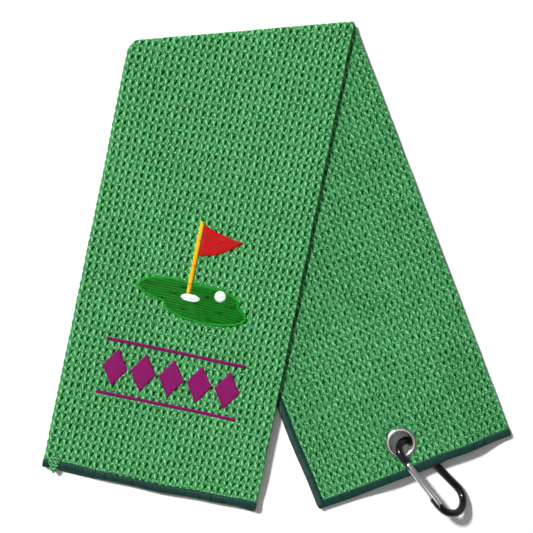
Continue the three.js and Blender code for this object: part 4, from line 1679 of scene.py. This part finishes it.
@dataclass
class SnapHook:
    """The snap hook. In its own plane, a runs along the gate and c from the gate to the spine."""

    shop: Paintshop
    rod: float = 2.4
    narrow: float = 7.5
    wide: float = 10.8
    centre_gap: float = 38.6
    spine_angle: float = -45.0
    pivot_a: float = 14.0
    latch_a: float = 45.4
    gate_r: float = 2.2
    shoulder: float = 2.7
    tab: float = 2.0
    slot: float = 2.6
    tab_r: float = 1.9
    nose: float = 6.2
    nose_out: float = 2.9
    spring_turns: int = 6
    spring_bore: float = 1.35
    coil: float = 0.85
    wire: float = 0.22

    def __post_init__(self) -> None:
        """Finds the hook's plane from the gate's joint and the spine's direction."""
        hinge = joint("gate_open")
        normal = np.array(hinge["axis"], float)
        self.normal = normal / np.linalg.norm(normal)
        spine = np.append(unit(self.spine_angle), 0.0)
        to_gate = np.cross(spine, self.normal)
        taper = self.wide - self.narrow
        self.lean = 2 * math.asin(taper / math.hypot(self.centre_gap, taper))
        self.a = spine * math.cos(self.lean) + to_gate * math.sin(self.lean)
        self.c = spine * math.sin(self.lean) - to_gate * math.cos(self.lean)
        self.origin = np.array(hinge["pos_m"]) / MM - self.pivot_a * self.a

    def at(self, a: np.ndarray, c: np.ndarray, n: np.ndarray) -> np.ndarray:
        """Points from the hook's plane and how far they stand out of it."""
        pairs = ((a, self.a), (c, self.c), (n, self.normal))
        return self.origin + sum(np.asarray(v, float)[..., None] * axis for v, axis in pairs)

    def centre_line(self, step: float = 0.35) -> np.ndarray:
        """The rod's middle line: hinge shoulder, narrow bend, spine, wide bend, latch shoulder.

        Args:
            step: from one point to the next, at most.

        Returns:
            (a, c) points.
        """
        over = math.pi / 2 + self.lean
        small, large = (self.narrow, self.narrow), (self.narrow + self.centre_gap, self.wide)

        def arc(centre: tuple[float, float], radius: float, start: float, end: float) -> np.ndarray:
            """Points on a circle between two angles."""
            turn = np.linspace(start, end, max(8, int(abs(end - start) * radius / step)))
            return table(centre[0] + radius * np.cos(turn), centre[1] + radius * np.sin(turn))

        def line(start: np.ndarray, end: np.ndarray) -> np.ndarray:
            """Points between two ends, without them."""
            u = np.linspace(0, 1, max(3, int(np.linalg.norm(end - start) / step)))[1:-1, None]
            return start + u * (end - start)

        first = arc(small, self.narrow, -math.pi / 2, -TAU + over)
        second = arc(large, self.wide, over, -math.pi / 2)
        hinge = np.array([self.pivot_a - self.shoulder, 0.0])
        latch = np.array([self.latch_a + 0.3, 0.0])
        return np.concatenate([hinge[None], line(hinge, first[0]), first, line(first[-1], second[0]), second,
                               latch[None]])

    def make_rod(self) -> bpy.types.Object:
        """The rod: a slightly squared section carried along the middle line, rounded off at both ends."""
        line = self.centre_line()
        far, aside = along_line(line)
        wide, high = round_tube(32, 2.5)
        size = self.rod * (0.8 + 0.2 * round_end(np.minimum(far, far[-1] - far) / 0.7, 0))
        flat = line[:, None] + aside[:, None] * (1.04 * wide * size)[..., None]
        points = self.at(flat[..., 0], flat[..., 1], 0.97 * high * size)
        return carried("hook_rod", points, table(far[:, None], wide), sharp=60)

    def slab(self, name: str, outline: np.ndarray, thick: float, sharp: float = 180.0) -> bpy.types.Object:
        """A flat block in the hook's plane, from an outline of (a, c) points."""
        levels = np.array([-thick / 2, thick / 2])
        points = self.at(*np.broadcast_arrays(outline[None, :, 0], outline[None, :, 1], levels[:, None]))
        return carried(name, points, sharp=sharp)

    def plate(self, name: str, outline: np.ndarray, thick: float, bevel: float = 0.22) -> bpy.types.Object:
        """A slab with a softened edge.

        Args:
            name: the piece's name.
            outline: the (a, c) points.
            thick: its thickness.
            bevel: the edge's width.

        Returns:
            The piece.
        """
        piece = self.slab(name, outline, thick, 35)
        soften = piece.modifiers.new("softened_edge", "BEVEL")
        soften.width, soften.segments, soften.angle_limit = bevel * MM, 3, math.radians(50)
        return piece

    def box(self, a0: float, a1: float, c0: float, c1: float, thick: float) -> bpy.types.Object:
        """A block for cutting with."""
        return self.slab("cutter", np.array([(a0, c0), (a1, c0), (a1, c1), (a0, c1)], float), thick)

    def lathed(self, name: str, profile: list[tuple[float, float]], a: float, c: float, axis: np.ndarray,
               sides: int = 40) -> bpy.types.Object:
        """A lathe piece about an axis through (a, c); its profile starts and ends near the axis."""
        return lathe(name, np.array(profile, float), self.at(a, c, 0.0), axis, sides, closed=False)

    def carved(self, piece: bpy.types.Object, cutters: list[bpy.types.Object]) -> bpy.types.Object:
        """Cuts the cutters away from the piece and removes them.

        Args:
            piece: the piece to cut.
            cutters: what to cut away.

        Returns:
            The piece.
        """
        for cutter in cutters:
            cut = piece.modifiers.new("cut", "BOOLEAN")
            cut.operation, cut.object, cut.solver = "DIFFERENCE", cutter, "EXACT"
        bpy.context.view_layer.update()
        seen = piece.evaluated_get(bpy.context.evaluated_depsgraph_get())
        mesh = bpy.data.meshes.new_from_object(seen)
        piece.modifiers.clear()
        piece.data = mesh
        for cutter in cutters:
            bpy.data.objects.remove(cutter)
        mesh.set_sharp_from_angle(angle=math.radians(35))
        return piece

    def make_gate(self) -> bpy.types.Object:
        """The gate arm: a round bar with a ball heel, slotted for the hinge tab and the nose."""
        length, r, bore = self.latch_a - self.pivot_a, self.gate_r, self.spring_bore
        heel = [(r * math.sin(k * math.pi / 16), -r * math.cos(k * math.pi / 16)) for k in range(9)]
        heel[0] = (0.02, -r)
        waist = [(r, 5.5), (r - 0.12, 6.0), (r - 0.12, length - 9.0), (r, length - 8.5)]
        profile = [*heel, *waist, (r, length - 0.4), (r - 0.35, length), (0.02, length)]
        gate = self.lathed("gate_arm", profile, self.pivot_a, 0.0, self.a, 48)
        cutters = [
            self.box(self.pivot_a - 3, self.pivot_a + self.tab_r + 0.6, -3, 3, self.slot),
            self.box(self.latch_a - self.nose - 0.8, self.latch_a + 1, -3, 3, self.slot),
            self.lathed("cutter", [(0.02, 1.0), (bore, 1.0), (bore, 13.0), (0.02, 13.0)], self.pivot_a, 0.0,
                        self.a),
        ]
        return self.carved(gate, cutters)

    def make_spring(self) -> bpy.types.Object:
        """The gate's spring: a round wire on a helix, with its last turn at each end pulled flat."""
        turn = np.linspace(0, TAU * self.spring_turns, 40 * self.spring_turns)
        share = turn / turn[-1]
        along = self.pivot_a + 5.4 + 7.4 * smooth(share * 0.8 + 0.1)
        centre = table(along, self.coil * np.cos(turn), self.coil * np.sin(turn))
        ahead = np.gradient(centre, axis=0)
        ahead /= np.linalg.norm(ahead, axis=1, keepdims=True)
        out = table(0.0, np.cos(turn), np.sin(turn))
        other = np.cross(ahead, out)
        around = np.linspace(0, TAU, 10, endpoint=False)
        ring = out[:, None] * np.cos(around)[None, :, None] + other[:, None] * np.sin(around)[None, :, None]
        spot = centre[:, None] + self.wire * ring
        return carried("gate_spring_wire", self.at(spot[..., 0], spot[..., 1], spot[..., 2]))

    def make(self) -> None:
        """Makes the hook's body pieces, which ride on the hook, and the gate's, which ride on the gate."""
        dress = self.shop.dress
        dress(self.make_rod(), Finish.BLACK, "carabiner", "hook_body")
        turn = np.linspace(-math.pi / 2, math.pi / 2, 15)
        end = table(self.pivot_a + self.tab_r * np.cos(turn), self.tab_r * np.sin(turn))
        start = self.pivot_a - self.shoulder - 1.2
        tab = np.concatenate([[(start, -self.tab_r)], end, [(start, self.tab_r)]])
        dress(self.plate("hook_hinge_tab", tab, self.tab), Finish.BLACK, "carabiner")
        nose = rounded([(self.latch_a - self.nose, -self.nose_out), (self.latch_a + 1.4, -self.nose_out),
                        (self.latch_a + 1.4, 0.3), (self.latch_a - self.nose, 0.3)], 0.9, 5)
        dress(self.plate("hook_nose", nose, self.tab), Finish.BLACK, "carabiner")
        head = [(0.02, -2.75), (0.7, -2.7), (1.25, -2.5), (1.5, -2.2), (0.8, -2.15)]
        rivet = [*head, *[(r, -z) for r, z in reversed(head)]]
        piece = self.lathed("rivet", rivet, self.pivot_a, 0.0, self.normal)
        dress(piece, Finish.STEEL, "carabiner", "gate_rivet")
        dress(self.make_gate(), Finish.SILVER, "gate", "hook_gate")
        pin = [(0.02, -1.75), (0.4, -1.75), (0.5, -1.6), (0.5, 1.6), (0.4, 1.75), (0.02, 1.75)]
        piece = self.lathed("latch_pin", pin, self.latch_a - 2.2, 1.25, self.normal, 24)
        dress(piece, Finish.STEEL, "gate", "gate_latch_pin")
        dress(self.make_spring(), Finish.STEEL, "gate", "gate_spring")
        plunger = [(0.02, 0), (0.5, 0.05), (0.85, 0.3), (1.1, 0.8), (1.1, 2.3), (1.0, 2.4), (0.02, 2.4)]
        piece = self.lathed("plunger", plunger, self.pivot_a + self.tab_r + 0.2, 0.0, self.a, 32)
        dress(piece, Finish.STEEL, "gate", "gate_plunger")


# ---- Stage ---------------------------------------------------------------------------------------


@dataclass
class Stage:
    """The floor, the light and the camera."""

    lens: float = 85.0
    sensor: float = 36.0
    view_width: float = 345.4
    target: tuple[float, float, float] = (-6.6, 0.9, 4.0)
    sun_from: tuple[float, float, float] = (-0.64, 0.6, 1.0)
    sun_power: float = 3.95
    sun_angle: float = 8.0
    sky: float = 0.13
    horizon: float = 0.6
    panel_size: float = 1.2
    panel_height: float = 1.3
    panel_place: tuple[float, float] = (-0.08, 0.1)
    panel_power: float = 2.3
    floor_half: float = 15000.0
    floor_height: float = -0.12

    def make_floor(self) -> None:
        """A plain pale floor."""
        half, z = self.floor_half, self.floor_height
        corners = [(-half, -half, z), (half, -half, z), (half, half, z), (-half, half, z)]
        floor = make_piece("floor", np.array(corners), [np.arange(4)[None]])
        material, graph, shader = start_material("pale_floor")
        place = graph.node("ShaderNodeTexCoord").outputs["Object"]
        colour = graph.mix(graph.noise(place, 3.0), linear(246, 246, 246), linear(250, 250, 250))
        graph.fill(shader, {"Base Color": colour, "Roughness": 0.9, "Specular IOR Level": 0.0})
        floor.data.materials.append(material)

    def make_light(self) -> None:
        """A soft sun, a panel overhead that shows in the metal, and a sky that is palest at its foot."""
        light = bpy.data.lights.new("soft_sun", "SUN")
        light.energy, light.angle = self.sun_power, math.radians(self.sun_angle)
        sun = new_object("soft_sun", light)
        sun.rotation_mode = "QUATERNION"
        sun.rotation_quaternion = Vector(self.sun_from).to_track_quat("Z", "Y")
        panel = bpy.data.lights.new("overhead_panel", "AREA")
        panel.shape, panel.size, panel.energy = "DISK", self.panel_size, self.panel_power
        new_object("overhead_panel", panel).location = (*self.panel_place, self.panel_height)
        world = bpy.data.worlds.new("pale_sky")
        world.use_nodes = True
        graph = Graph(world.node_tree)
        background = graph.node("ShaderNodeBackground")
        graph.put(graph.node("ShaderNodeOutputWorld").inputs["Surface"], background.outputs[0])
        direction = graph.node("ShaderNodeTexCoord").outputs["Generated"]
        low = graph.sub(1.0, graph.ramp(graph.parts(direction)[2], 0.12, 0.5))
        strength = graph.add(self.sky, graph.mul(low, self.horizon - self.sky))
        graph.fill(background, {"Color": (1, 1, 1, 1), "Strength": strength})
        bpy.context.scene.world = world
        bpy.context.scene.view_settings.view_transform = "Standard"

    def make_camera(self) -> None:
        """A camera straight above, at the distance where its view is as wide as asked for."""
        data = bpy.data.cameras.new("view_from_above")
        data.lens, data.sensor_width = self.lens, self.sensor
        camera = new_object("view_from_above", data)
        high = self.view_width * self.lens / self.sensor
        x, y, z = self.target
        camera.location = (x * MM, y * MM, (z + high) * MM)
        bpy.context.scene.camera = camera

    def make(self) -> None:
        """Makes all three."""
        self.make_camera()
        self.make_floor()
        self.make_light()


def main() -> None:
    """Builds the towel round its frame."""
    logging.basicConfig(level=logging.INFO, format="%(name)s %(message)s")
    Stage().make()
    strip = Strip()
    shop = Paintshop(Trees(strip.knit.node_tree(), fibre_tree(), thread_tree(), wear_tree()))
    cloth = Cloth(strip, shop)
    cloth.make()
    hems = Hems(strip, shop).make()
    thread_work = Embroidery(strip, shop).make()
    RingMaker(strip.grommet, shop).make()
    SnapHook(shop).make()
    hems["towel_front_cloth_top"] += thread_work
    hems["crosswise_fold_outer"] = cloth.fold_layers


if __name__ == "__main__":
    main()
